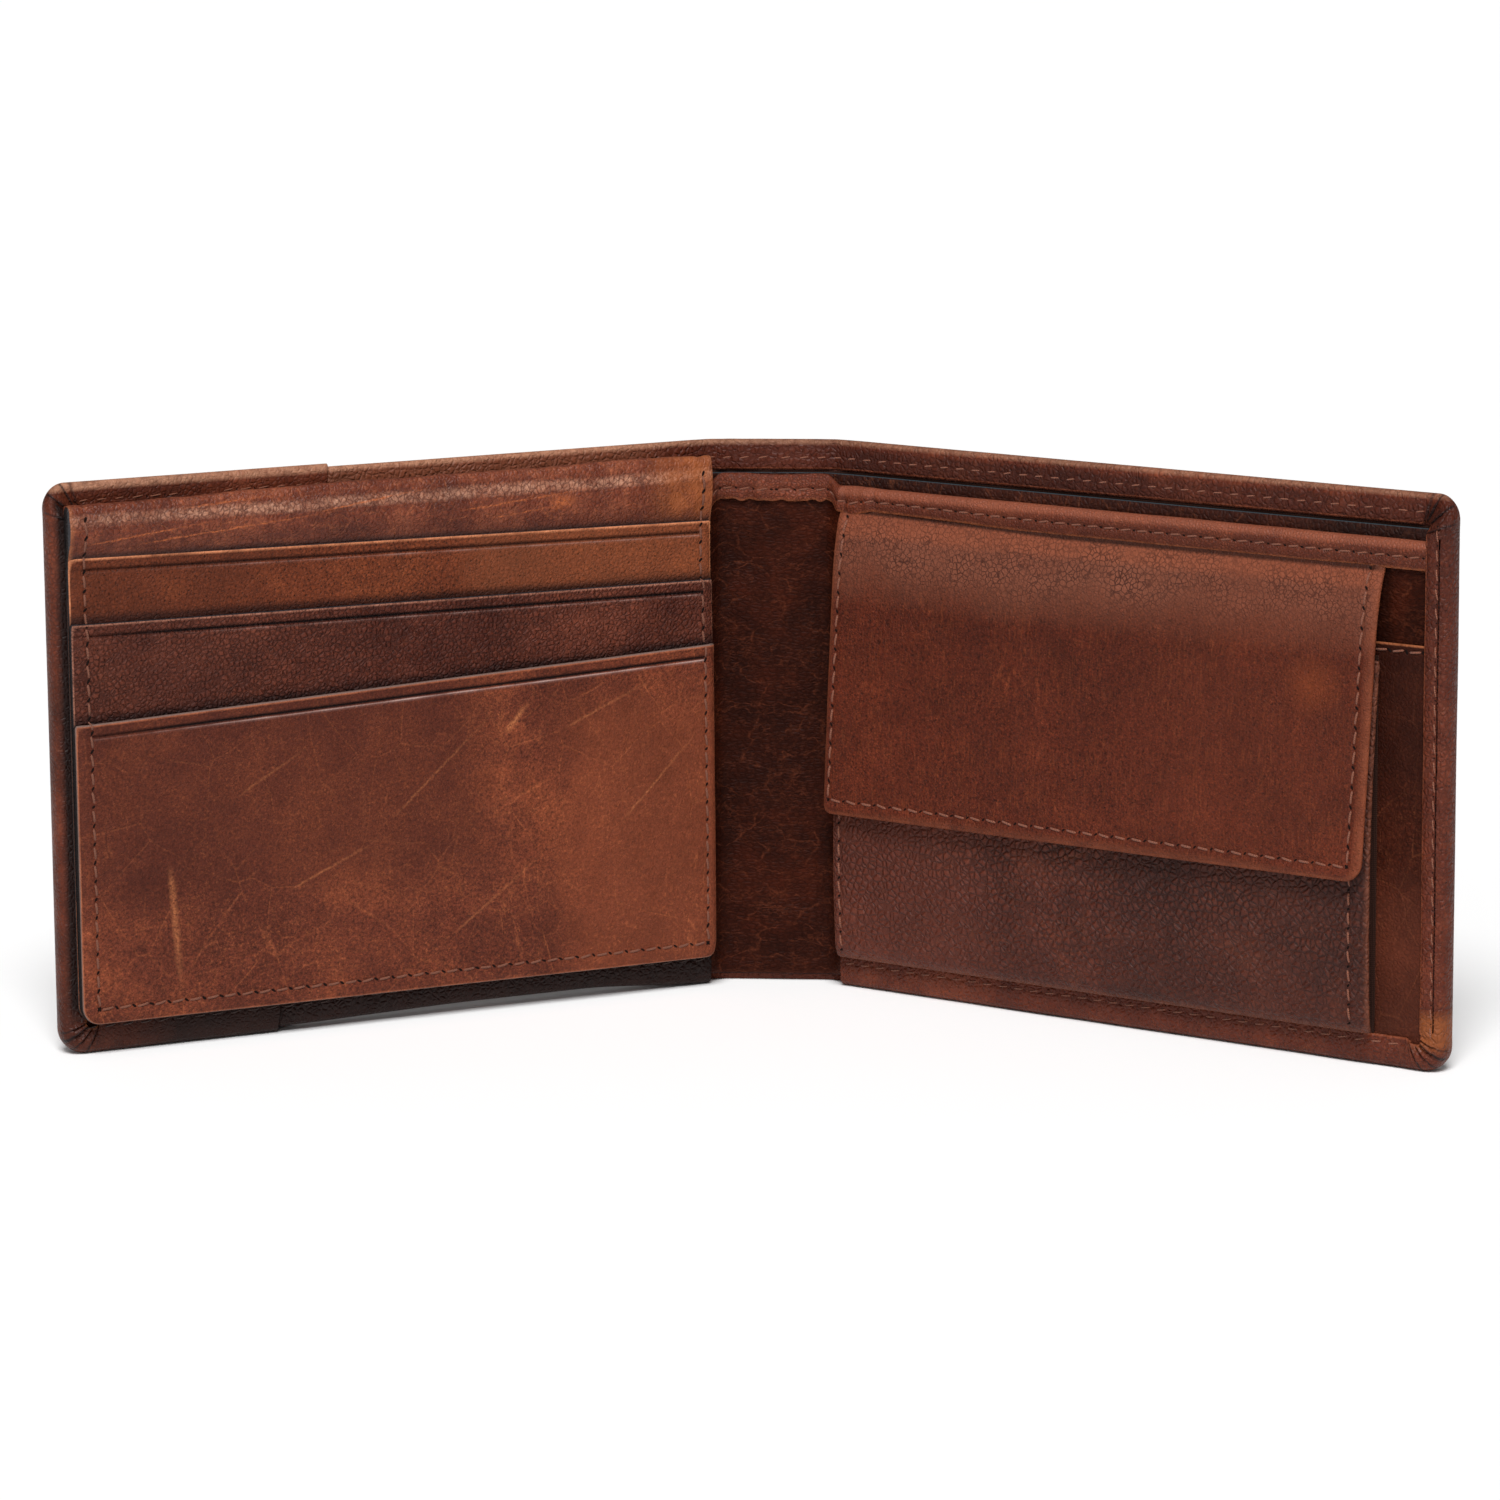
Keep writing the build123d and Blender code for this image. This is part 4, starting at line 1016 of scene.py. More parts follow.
for side in ("right", "left"):
    lining = half_sheet(f"cover_lining_{side}_half", side, (0.55, 0.75), (0.55, 0.65), (84.9, 84.9),
                        (1.6, 1.6),
                        LINING, step=3.0, radius=0.08)
    done(lining, "lining_cloth", [f"cover_lining_{side}", "cover_lining_spine"], bend=fold(side))
    divider = half_sheet(f"note_divider_{side}_half", side, (1.05, 1.65), (0.70, 0.95), (84.6, 84.6),
                         (1.6, 1.6),
                         DIVIDER, step=2.0)
    done(divider, "divider_leather", [f"note_divider_{side}", "note_divider_spine"], bend=fold(side))
    panel = half_sheet(f"inner_panel_{side}_half", side, (2.2, 3.0), (1.0, 1.4), (82.2, 84.0), (1.6, 1.2),
                       INNER, step=1.5, sag=spine_hollow)
    done(panel, "inner_leather", [f"inner_panel_{side}", "inner_panel_spine"], bend=fold(side))
    inner_lining = shell(f"inner_lining_{side}_cloth", side,
                         *np.meshgrid(lines(2.0, CONTENT_END - 0.1, 3.0), lines(1.7, 82.0, 3.0),
                                      indexing="ij"),
                         level(2.15), level(1.95), LINING, radius=0.08)
    done(inner_lining, "lining_cloth", [f"inner_lining_{side}"], body=f"{side}_wing")


# ---- binding folded over the inner panel's top edge ----
BINDING_SEAM = 0.44                                 # share of the binding's height that its seam lies at
BINDING_SHARES = np.array([0.0, 0.08, 0.18, 0.28, 0.36, 0.41,
                           BINDING_SEAM, 0.47, 0.52, 0.6, 0.68, 0.75, 0.8])


def binding_top(side, u):
    x, gather = across_x(side, u), 1 - ramp(u, 4.0, 14.0)
    return across(u, 82.9, 84.5) + 0.18 * noise(x, 0 * u, 3.0, 31) * gather + 0.05 * noise(x, 0 * u, 9.0, 32)


def binding_low(side, u):
    x, gather = across_x(side, u), 1 - ramp(u, 2.0, 13.0)
    return (across(u, 78.35 + 0.85 * (1 - ramp(u, 8.0, 45.0)), 80.2)
            + gather * 0.35 * noise(x, 0 * u, 1.3, 33) - 0.9 * bump(u, 4.0, 2.6)
            + 0.06 * noise(x, 0 * u, 6.0, 34))


def binding_front(side, u, share):
    """n of the binding's face; share runs from its lower rim, 0, to its top, 1."""
    x, gather = across_x(side, u), 1 - ramp(u, 4.0, 15.0)
    folds = noise(x + 0.7 * share, 0 * u, 1.5, 35) + 0.5 * noise(x - 1.2 * share, 3.0 * share, 0.8, 36)
    pillow = 0.42 * np.sin(pi * np.clip(share, 0, 1)) ** 0.8
    dent = 0.26 * bump(share, BINDING_SEAM, 0.07)
    n = across(u, 3.62, 1.95) + pillow - dent + gather * 0.36 * folds + 0.05 * noise(x, share, (5.0, 0.5), 37)
    return np.minimum(n, 3.8) if side == "left" else n


def binding(side):
    us = np.concatenate([lines(SPINE_MID, 16.0, 0.3), lines(16.4, CONTENT_END, 0.9)])
    rings, marks, rims, shares = [], [], [], BINDING_SHARES
    for u in us:
        low, top = float(binding_low(side, u)), float(binding_top(side, u))
        back = float(across(u, 1.78, 0.98))
        front = binding_front(side, u + 0 * shares, shares)
        ring = [(u, low + s * (top - low), n) for s, n in zip(shares, front)]
        n_top, height = front[-1], low + shares[-1] * (top - low)
        middle = (n_top + back) / 2
        for a in np.linspace(0, pi, 8)[1:-1]:
            ring.append((u, height + (top - height) * sin(a), middle + (n_top - middle) * cos(a)))
        ring += [(u, height, back), (u, low + 1.5, back), (u, low + 1.5, back + 0.15),
                 (u, height - 0.1, back + 0.15), (u, height - 0.1, n_top - 0.4),
                 (u, low + 0.02, front[0] - 0.42)]
        rings.append(ring)
        rims.append(np.concatenate([shares * (top - low), np.full(len(ring) - len(shares) - 1, FAR), [0.0]]))
        folds = noise(across_x(side, u) + 0.7 * shares, 0 * shares, 1.5, 35)
        # painted shade in the gathered folds at the spine, carried by mark
        crease = float(1 - ramp(u, 4.0, 14.0)) * np.clip(-0.9 * folds - 0.35, 0, 1)
        marks.append(np.concatenate([crease * 0.9, np.zeros(len(ring) - len(shares))]))
    piece = swept(f"inner_binding_{side}_half", side, np.array(rings), BINDING,
                  np.array(rims), np.array(marks))
    done(piece, "binding_leather", [f"inner_binding_{side}", "inner_binding_spine"], bend=fold(side))


for side in ("right", "left"):
    binding(side)

# ---- seams of the cover and the binding ----
def outside(side, u, z, level=-0.5):
    """n of the cover's outside."""
    return level + 0.12 * noise(across_x(side, u), z, 16.0, 1)


for side in ("right", "left"):
    left = side == "left"
    u = np.arange(SPINE_MID + 0.4, WING - 4.6, 0.5)
    step = END_STEP * ramp(u, 66.0, 68.0) if left else 0
    path = np.stack([u, np.full_like(u, HEIGHT - TOP_SEAM) + step, hem_front(side, u)], -1)
    stitch_row(f"cover_top_stitches_{side}", side, path,
               [f"cover_top_thread_{side}", "cover_top_thread_spine"],
               thick=0.10, hole=0.5, thread=EDGE_THREAD, bend=fold(side))
    path[:, 2] = outside(side, path[:, 0], path[:, 1])
    if left:        # there the outer end lies over the main part
        path[:, 2] -= 0.6 * (1 - ramp(u, 67.0, 68.5)) * ramp(u, 62.9, 63.1)
    stitch_row(f"cover_top_stitches_outside_{side}", side, path, outward=-1, bend=fold(side))
    u = np.arange(SPINE_MID + 0.4, CONTENT_END - 2.6, 0.5)
    low, top = binding_low(side, u), binding_top(side, u)
    path = np.stack([u, low + BINDING_SEAM * (top - low), binding_front(side, u, BINDING_SEAM + 0 * u)], -1)
    stitch_row(f"binding_stitches_{side}", side, path, [f"inner_top_thread_{side}", "inner_top_thread_spine"],
               thick=0.13, bend=fold(side))
    edge = WING - SIDE_SEAM[side]
    rows = [(edge, z, float(border_front(side, z, 1.0))) for z in np.arange(HEIGHT - 4.5, 5.5, -0.5)]
    for u in np.arange(edge, 2.6, -0.5):
        lifted = float(lift_at(u)) if left and u < 70 else 0.0
        rows.append((u, LOW_SEAM[side] + lifted * 0.35, float(border_front(side, u, 2.0))))
    # on the left the thread is the dark copy, painted shade under the card flap
    stitch_row(f"border_stitches_{side}", side, rows, [f"border_thread_{side}"], thick=0.11, hole=0.45,
               thread=SHADOWED_THREAD if left else EDGE_THREAD, body=f"{side}_wing")
    rows = [(u, z, float(outside(side, u, z))) for u, z, n in rows]
    stitch_row(f"border_stitches_outside_{side}", side, rows, outward=-1, body=f"{side}_wing")
rows = [(seam_at(z) - 1.7, z, float(outside("left", seam_at(z) - 1.7, z, -1.1)))
        for z in np.arange(2.5, 88.0, 0.5)]
stitch_row("cover_seam_stitches", "left", rows, ["cover_seam_thread"], outward=-1, body="left_wing")


# ---- card flap ----
ROLL_Z, ROLL_N, ROLL_R = 86.7, 5.85, 1.6                    # the rolled edge's middle and radius
CARD_STITCH, CARD_CORNER, CARD_EDGE = 2.6, 3.0, 0.3         # seam's distance in, corner and edge radius
BACKING_FRONT = 4.87
IRONED_START, IRONED_END = (4.4, 5.0), (109.2, 109.8)       # u over which the ironed line comes and goes
# how far below a slot's mouth its upper grid lines lie; they bunch up at the ironed line
MOUTH_LINES = np.array([0, 0.2, 0.5, 0.9, 1.2, 1.4, 1.55, 1.65, 1.75,
                        1.85, 1.95, 2.05, 2.15, 2.3, 2.6, 3.2, 4.0, 5.0])


def edge_height(edge, u):
    return edge[0] + (edge[1] - edge[0]) * (u - FLAP_START) / (FLAP_END - FLAP_START)


def ironed(u):
    """1 where the creasing iron pressed its line, between the two side seams."""
    return ramp(u, *IRONED_START) * (1 - ramp(u, *IRONED_END))


def slot_mark(edge, next_edge, pale):
    """The creasing iron's dark line under a slot's mouth, between the two side seams, partly painted shade in
    its groove, with a pale painted highlight below it; and painted shadow where the next slot's mouth lies on
    this one."""
    def mark(u, z, rim):
        # painted shadow where the next slot's mouth lies on this one
        overlap_shadow = 0.78 * (1 - ramp(z - edge_height(next_edge, u), 0.2, 1.7)) if next_edge else 0.0
        below = edge_height(edge, u) - z
        x = across_x("left", u)
        amount = 0.65 if next_edge == EDGE_TWO else 0.95
        dark = amount * bump(below, 2.0, 0.30) * (1 - 0.6 * ramp(u, 94.0, 110.0))
        # painted highlight: the pale line below the iron's groove
        light = pale * (0.6 + 0.4 * noise(x, 0 * x, 2.5, 45)) * (1 - 0.8 * ramp(u, 80.0, 104.0))
        line = dark - light * bump(below, 2.42, 0.14)
        return np.clip(line, -1, 1) * ironed(u) + overlap_shadow
    return mark


def slot_leather(name, edge, next_edge, pale, bottom, layer, material, node, slot, corners=False, belly=0.0,
                 seed=0):
    """A slot's leather from its mouth down to bottom; layer is its back and front n. Gives n of its face."""
    r = CARD_EDGE
    us = lines(FLAP_START + r, FLAP_END - r, 1.2, seams=(FLAP_START + CARD_STITCH, FLAP_END - CARD_STITCH))
    rest = lines(0.0, 1.0, 1.3 / 60)[1:]
    if corners:
        seam = CARD_STITCH + FLAP_BOTTOM
        lower = corner_lines(FLAP_BOTTOM + r, 45.0, 1.2, CARD_CORNER - r, ("low",), seams=(seam,))
        rest = 1 - (lower[::-1][1:] - lower[0]) / (lower[-1] - lower[0])
    top = edge_height(edge, us)[:, None] - r
    upper = top - MOUTH_LINES[None, :]
    floor = bottom + r
    z = np.concatenate([upper, upper[:, -1:] + (floor - upper[:, -1:]) * rest[None, :]], 1)[:, ::-1]
    u = np.repeat(us[:, None], z.shape[1], 1)
    if corners:
        radius = CARD_CORNER - r
        drop = radius - np.minimum(z - floor, radius)
        pull = radius - np.sqrt(np.maximum(radius ** 2 - drop ** 2, 0))
        share = (u - (FLAP_START + FLAP_END) / 2) / ((FLAP_END - FLAP_START) / 2)
        u = u - np.sign(share) * np.abs(share) ** 6 * pull

    def front(u, z, rim):
        below = edge_height(edge, u) - z
        lip = 0.16 * (1 - ramp(below, 1.5, 2.1)) + 0.10 * (1 - ramp(below, 0.2, 0.9))
        groove = 0.30 * bump(below, 2.0, 0.25) * ironed(u)
        seams = np.maximum(bump(u, FLAP_START + CARD_STITCH, 0.3), bump(u, FLAP_END - CARD_STITCH, 0.3))
        if corners:
            inside = (u > FLAP_START + CARD_STITCH - 0.3) & (u < FLAP_END - CARD_STITCH + 0.3)
            seams = np.maximum(seams, bump(z, FLAP_BOTTOM + CARD_STITCH, 0.3) * inside)
        swell = belly * ramp(rim, 3.0, 26.0)
        sides = np.minimum(u - FLAP_START, FLAP_END - u)
        soft = 0.22 * (1 - ramp(np.minimum(sides, z - FLAP_BOTTOM if corners else sides), 0.1, 1.5))
        return layer[1] + lip - groove - 0.10 * seams + swell - soft + 0.14 * noise(u, z, 13.0, 40 + seed) \
            + 0.03 * noise(u, z, 4.0, 41 + seed)

    def back(u, z, rim):
        near = np.minimum(np.minimum(u - FLAP_START, FLAP_END - u), z - bottom if corners else 99)
        return BACKING_FRONT + (layer[0] - BACKING_FRONT) * ramp(near, 0.6, 1.8)

    piece = shell(name, "left", u, z, front, back, material, radius=r, mark=slot_mark(edge, next_edge, pale),
                  side_rim=4.0)
    done(piece, slot, [node], body="card_flap")
    return front


front_one = slot_leather("card_slot_one", EDGE_ONE, EDGE_TWO, 0.5, 24.0, (5.25, 5.9), SLOT_ONE,
                         "card_slot_top", "slot_top_leather", seed=1)
front_two = slot_leather("card_slot_two", EDGE_TWO, EDGE_THREE, 0.6, 14.5, (6.0, 6.65), SLOT_TWO,
                         "card_slot_middle", "slot_middle_leather", seed=2)
front_three = slot_leather("card_slot_three", EDGE_THREE, None, 1.35, FLAP_BOTTOM, (6.75, 7.45), SLOT_THREE,
                           "card_slot_front", "card_flap_leather", corners=True, belly=0.15, seed=3)


def card_backing():
    r = 0.28
    zs = corner_lines(FLAP_BOTTOM + r, 86.0, 2.0, CARD_CORNER - r, ("low",))
    u, z = rounded_grid(lines(FLAP_START + r, FLAP_END - r, 2.0), zs, CARD_CORNER - r, bottom=True)
    piece = shell("card_flap_backing", "left", u, z, level(4.85), level(4.25), FLAP, radius=r)
    done(piece, "card_flap_leather", body="card_flap")


def roll_offset(u, turn):
    """Puckers and soft creases of the rolled edge."""
    long = noise(u + 6 * turn, turn, (9.0, 0.7), 50)
    folds = -np.abs(noise(u + 3 * turn, turn, (4.0, 0.55), 51))
    folds = folds - 0.6 * np.abs(noise(u - 4 * turn, turn, (1.8, 0.4), 52))
    return 0.14 * long + 0.20 * (folds + 0.5) + 0.04 * noise(u, turn, (0.8, 0.3), 53)


# (z, n) of the roll's face from its lower end up, and how far each point follows the first slot's mouth
ROLL_FACE = np.array([(ROLL_Z + dz, 5.05 + share * (ROLL_N + ROLL_R - 5.05)) for dz, share in (
    (-14.0, 0.03), (-12.0, 0.06), (-10.0, 0.15), (-8.4, 0.27), (-7.4, 0.42), (-6.4, 0.62), (-5.4, 0.82),
    (-4.4, 0.95), (-3.4, 1.0), (-2.6, 1.0), (-1.8, 0.97), (-0.9, 0.92))])
ROLL_RISE = np.array([1, 1, 1, 1, 1, 0.8, 0.5, 0.25] + [0] * (len(ROLL_FACE) - 8))


def roll_face(u):
    """The roll's face at u, whose lower part ends in the first slot's mouth."""
    rise = 0.9 * (edge_height(EDGE_ONE, u) - EDGE_ONE[0]) - 1.18
    return ROLL_FACE + np.stack([ROLL_RISE * rise, 0 * ROLL_RISE], -1)


def card_roll():
    us = np.concatenate([[FLAP_START, FLAP_START + 0.08, FLAP_START + 0.25],
                         lines(FLAP_START + 0.6, FLAP_END - 0.6, 0.7),
                         [FLAP_END - 0.25, FLAP_END - 0.08, FLAP_END]])
    angles = np.linspace(0, pi, 13)
    over = [(ROLL_Z + ROLL_R * sin(a), ROLL_N + (ROLL_R - 0.35 * (a < 1)) * cos(a)) for a in angles]
    over += [(ROLL_Z - 3.0, 4.28), (ROLL_Z - 8.0, 4.9), (ROLL_Z - 14.0, 4.95)]
    ring = np.concatenate([ROLL_FACE, over])
    length = np.concatenate([[0], np.cumsum(np.linalg.norm(np.diff(ring, axis=0), axis=1))])
    middle = np.array([ROLL_Z - 2.0, ROLL_N - 0.2])
    out = []
    for u in us:
        ring = np.concatenate([roll_face(u), over])
        end = min(u - FLAP_START, FLAP_END - u)
        shrink = 0.35 * (1 - sqrt(1 - (1 - min(1, end / 0.6)) ** 2))
        away = ring - middle
        size = np.linalg.norm(away, axis=1, keepdims=True)
        points = middle + away * (1 - shrink / size)
        skin = (np.arange(len(ring)) < len(ROLL_FACE) + 9)
        fade = ramp(length, 3.0, 8.0) * skin
        seam = float(max(bump(u, FLAP_START + CARD_STITCH, 0.5), bump(u, FLAP_END - CARD_STITCH, 0.5)))
        offset = roll_offset(u + 0 * length, length / 3.0) * fade - 0.25 * seam * skin
        points = points + away / size * offset[:, None]
        points[:, 0] -= 0.7 * ramp(u, 60.0, 112.0) * ramp(points[:, 0], ROLL_Z - 1.0, ROLL_Z + 1.6)
        out.append(np.concatenate([np.full((len(ring), 1), u), points], 1))
    out = np.array(out)
    rim = np.minimum(out[..., 0] - FLAP_START, FLAP_END - out[..., 0]) + 0.02
    piece = swept("card_flap_roll", "left", out, FLAP, rim)
    done(piece, "card_flap_leather", ["card_flap_leather"], body="card_flap")


card_backing()
card_roll()


def flap_root():
    """The strip on the wing that the rolled edge is sewn to: up from the binding to the roll's back."""
    us = lines(FLAP_START + 0.2, FLAP_END - 0.2, 1.2)
    z_path = np.array([82.4, 83.4, 84.4, 85.3, 86.1, 86.8, 87.4])
    n_path = np.array([2.75, 2.8, 2.9, 3.1, 3.45, 3.85, 4.35])
    out = []
    for u in us:
        puff = 0.12 * noise(u + 0 * z_path, z_path, 5.0, 60)
        front = np.stack([z_path, n_path + 0.45 + puff], -1)
        back = np.stack([z_path, n_path - 0.25 + puff], -1)
        front[-1] = (87.35, 4.75)
        ring = np.concatenate([front, back[::-1]])
        out.append(np.concatenate([np.full((len(ring), 1), u), ring], 1))
    piece = swept("card_flap_root", "left", np.array(out), FLAP)
    done(piece, "inner_leather", ["card_flap_tab"], body="left_wing")


flap_root()


def flap_surface(u, z):
    """n of the card flap's face, whichever slot shows there."""
    for edge, front in ((EDGE_THREE, front_three), (EDGE_TWO, front_two), (EDGE_ONE, front_one)):
        if z < edge_height(edge, u) - 0.05:
            return float(front(np.float64(u), np.float64(z), np.float64(5.0)))
    face = roll_face(u)
    return float(np.interp(z, face[:, 0], face[:, 1])) - 0.12


low = FLAP_BOTTOM + CARD_STITCH
near, far = FLAP_START + CARD_STITCH, FLAP_END - CARD_STITCH
for label, nodes, points in (
        ("bottom", ["card_flap_thread"], [(u, low) for u in np.arange(near, far + 0.01, 0.5)]),
        ("spine_side", [], [(near, z) for z in np.arange(low, 85.9, 0.4)]),
        ("outer_side", [], [(far, z) for z in np.arange(low, 85.9, 0.4)])):
    path = [(u, z, flap_surface(u, z) + 0.02) for u, z in points]
    stitch_row(f"card_flap_stitches_{label}", "left", path, nodes,
               pitch=2.9, hole_turn=0.9, thread=FLAP_THREAD, body="card_flap")


# ---- slip pocket ----
SLIP_TOP, SLIP_SEAM = 66.8, 65.6


def slip_front(u, z):
    return 3.55 + 0.08 * noise(u, z, 12.0, 70)


def slip_pocket():
    r = 0.2

    def front(u, z, rim):
        edge = 0.12 * (1 - ramp(SLIP_TOP - z, 0.3, 1.0)) - 0.12 * bump(z, SLIP_SEAM, 0.3)
        return np.where(z < 5.6, np.minimum(slip_front(u, z), 3.5), slip_front(u, z) + edge)

    u, z = np.meshgrid(lines(CONTENT_START + r, CONTENT_END - r, 1.5),
                       lines(1.8, SLIP_TOP - r, 1.5, seams=(SLIP_SEAM,)), indexing="ij")
    piece = shell("slip_pocket_leather", "right", u, z, front, level(3.05), SLIP, radius=r)
    done(piece, "inner_leather", ["slip_pocket"], body="right_wing")
    path = [(u, SLIP_SEAM, float(slip_front(u, SLIP_SEAM)) - 0.05) for u in np.arange(3.0, WING - 4.4, 0.5)]
    stitch_row("slip_pocket_stitches", "right", path, ["slip_pocket_thread"], body="right_wing")


slip_pocket()

# ---- coin pocket ----
FRONT_START, FRONT_END, FRONT_TOP, FRONT_FOOT = 2.9, 103.0, 64.0, 5.45
FRONT_SEAMS = (4.7, 99.6)
MOUTH = ("right_wing", "coin_front", "right")           # what bends with the pocket's front


def front_middle(z):
    """n of the middle of the pocket front; below its hinge line it tucks in behind the border."""
    share = (z - 6.0) / 58.0
    bowed = 6.5 + share * (4.6 - 6.5) + 4 * 1.45 * share * (1 - share)
    return bowed - 0.8 * (1 - ramp(z, 5.0, 7.6))


def pocket_front(u, z):
    side_seams = np.maximum(bump(u, FRONT_SEAMS[0], 0.3), bump(u, FRONT_SEAMS[1], 0.3))
    return front_middle(z) + 0.5 - 0.12 * side_seams + 0.12 * noise(u, z, 15.0, 80) \
        + 0.04 * noise(u, z, 3.5, 81)


def coin_pocket():
    r = 0.4
    u, z = np.meshgrid(lines(FRONT_START + r, FRONT_END - r, 1.2, seams=FRONT_SEAMS),
                       lines(FRONT_FOOT + r, FRONT_TOP - r, 1.2), indexing="ij")
    piece = shell("coin_pocket_leather", "right", u, z,
                  lambda u, z, rim: pocket_front(u, z) - 0.15 * (1 - ramp(rim, 0.3, 1.2)),
                  lambda u, z, rim: front_middle(z) - 0.5, COIN_FRONT, radius=r)
    foot = (*MOUTH, (53, 5.0, 5.2), (53, 8.0, 6.6))
    done(piece, "coin_front_leather", ["coin_pocket_front"], bend=foot)
    for which, u in zip(("inner", "outer"), FRONT_SEAMS):
        path = [(u, z, float(pocket_front(np.float64(u), np.float64(z)))) for z in np.arange(61.5, 6.6, -0.5)]
        stitch_row(f"coin_pocket_stitches_{which}", "right", path, [f"coin_pocket_thread_{which}"], bend=foot)
    # cloth back and floor of the pocket
    u, z = np.meshgrid(lines(3.1, 102.3, 3.0), lines(5.3, 64.6, 3.0), indexing="ij")
    back = shell("coin_pocket_back_cloth", "right", u, z,
                 lambda u, z, rim: 3.92 + 0.06 * noise(u, z, 9.0, 82),
                 lambda u, z, rim: 3.68 + 0.06 * noise(u, z, 9.0, 82), LINING, radius=0.1)
    done(back, "lining_cloth", ["coin_pocket_back"], body="right_wing")
    # gussets: a strip of cloth folded inwards between the back and the front
    for which, u0, inward in (("inner", FRONT_START + 0.5, 1), ("outer", FRONT_END - 1.3, -1)):
        out = []
        for z in lines(8.0, 50.0, 1.2):
            low, high = 4.05, float(front_middle(z)) - 0.62
            mid = (low + high) / 2
            depth = 5.0 + 0.15 * float(noise(z, 0.0, 6.0, 83))
            line = [(u0 + inward * depth * share, n) for share, n in (
                (0, low), (0.5, low + (mid - low) * 0.35), (0.9, mid - 0.15), (1, mid), (0.9, mid + 0.15),
                (0.5, high - (high - mid) * 0.35), (0, high))]
            shift = [(0, 0.16), (0, 0.14), (-inward * 0.10, 0.08), (-inward * 0.16, 0),
                     (-inward * 0.10, -0.08),
                     (0, -0.14), (0, -0.16)]
            ring = line + [(a + s, b + t) for (a, b), (s, t) in zip(line[::-1], shift[::-1])]
            out.append([(a, z, n) for a, n in ring])
        gusset = swept(f"coin_gusset_{which}_cloth", "right", np.array(out), LINING)
        done(gusset, "lining_cloth", [f"coin_gusset_{which}"],
             bend=(*MOUTH, (53, 30.0, 4.1), (53, 30.0, 6.4)))


coin_pocket()

# ---- coin flap ----
COIN_START, COIN_END, COIN_LENGTH, COIN_TILT = 1.9, 103.1, 49.2, radians(5.71)
COIN_HINGE_Z, COIN_HINGE_N, COIN_STITCH, COIN_CORNER = 79.0, 4.9, 2.3, 3.0
COIN_BEND = ("right_wing", "coin_flap", "right", (52, 78.4, 3.3), (52, 74.4, 5.2))


def coin_line():
    """The flap's middle as (distance down it, z, n): out from under the binding, then down its tilt."""
    t = np.linspace(0, 1, 40)[:, None]
    foot = 12.0
    end = np.array([COIN_HINGE_Z - foot * cos(COIN_TILT), COIN_HINGE_N + foot * sin(COIN_TILT)])
    slope = np.array([-cos(COIN_TILT), sin(COIN_TILT)])
    p = [np.array([78.4, 3.02]), np.array([76.7, 4.35]), end - 5.0 * slope, end]
    curve = (1 - t) ** 3 * p[0] + 3 * t * (1 - t) ** 2 * p[1] + 3 * t ** 2 * (1 - t) * p[2] + t ** 3 * p[3]
    rest = end + slope * np.linspace(0.6, COIN_LENGTH - foot, 60)[:, None]
    root = np.linspace([79.9, 2.80], [78.6, 2.96], 5)
    return np.concatenate([root, curve, rest])


COIN_PATH = coin_line()
COIN_ALONG = np.concatenate([[0], np.cumsum(np.linalg.norm(np.diff(COIN_PATH, axis=0), axis=1))])
COIN_SPAN = float(COIN_ALONG[-1])


def hang(lay):
    """(u, distance down the flap, height off its middle) to layout points."""
    down = np.clip(lay[:, 1], 0, COIN_SPAN)
    over = lay[:, 1] - down

    def middle(s):
        return np.array([np.interp(s, COIN_ALONG, COIN_PATH[:, k]) for k in (0, 1)])

    z, n = middle(down)
    dz, dn = middle(np.minimum(down + 0.6, COIN_SPAN)) - middle(np.maximum(down - 0.6, 0))
    size = np.hypot(dz, dn)
    dz, dn = dz / size, dn / size
    wave = 0.25 * noise(lay[:, 0], lay[:, 1], (40.0, 30.0), 90) * ramp(lay[:, 1], 6.0, 20.0)
    off = lay[:, 2] + wave
    return np.stack([lay[:, 0], z + over * dz + off * dn, n + over * dn - off * dz], -1)


def coin_side(u, v):
    """Distance to the flap's nearest free edge."""
    return np.minimum(np.minimum(u - COIN_START, COIN_END - u), COIN_SPAN - v)


def coin_face(u, v):
    """Height of the flap's face off its middle."""
    seams = np.maximum(bump(u, COIN_START + COIN_STITCH, 0.32), bump(u, COIN_END - COIN_STITCH, 0.32))
    seams = np.maximum(seams * (v < COIN_SPAN - 1.8), bump(v, COIN_SPAN - COIN_STITCH, 0.32)
                       * (u > COIN_START + 2.0) * (u < COIN_END - 2.0))
    side = coin_side(u, v)
    bead = 0.12 * bump(side, 1.1, 0.7) - 0.28 * (1 - ramp(side, 0.2, 1.1))
    return 0.6 + bead - 0.14 * seams + 0.06 * noise(u, v, 11.0, 91)


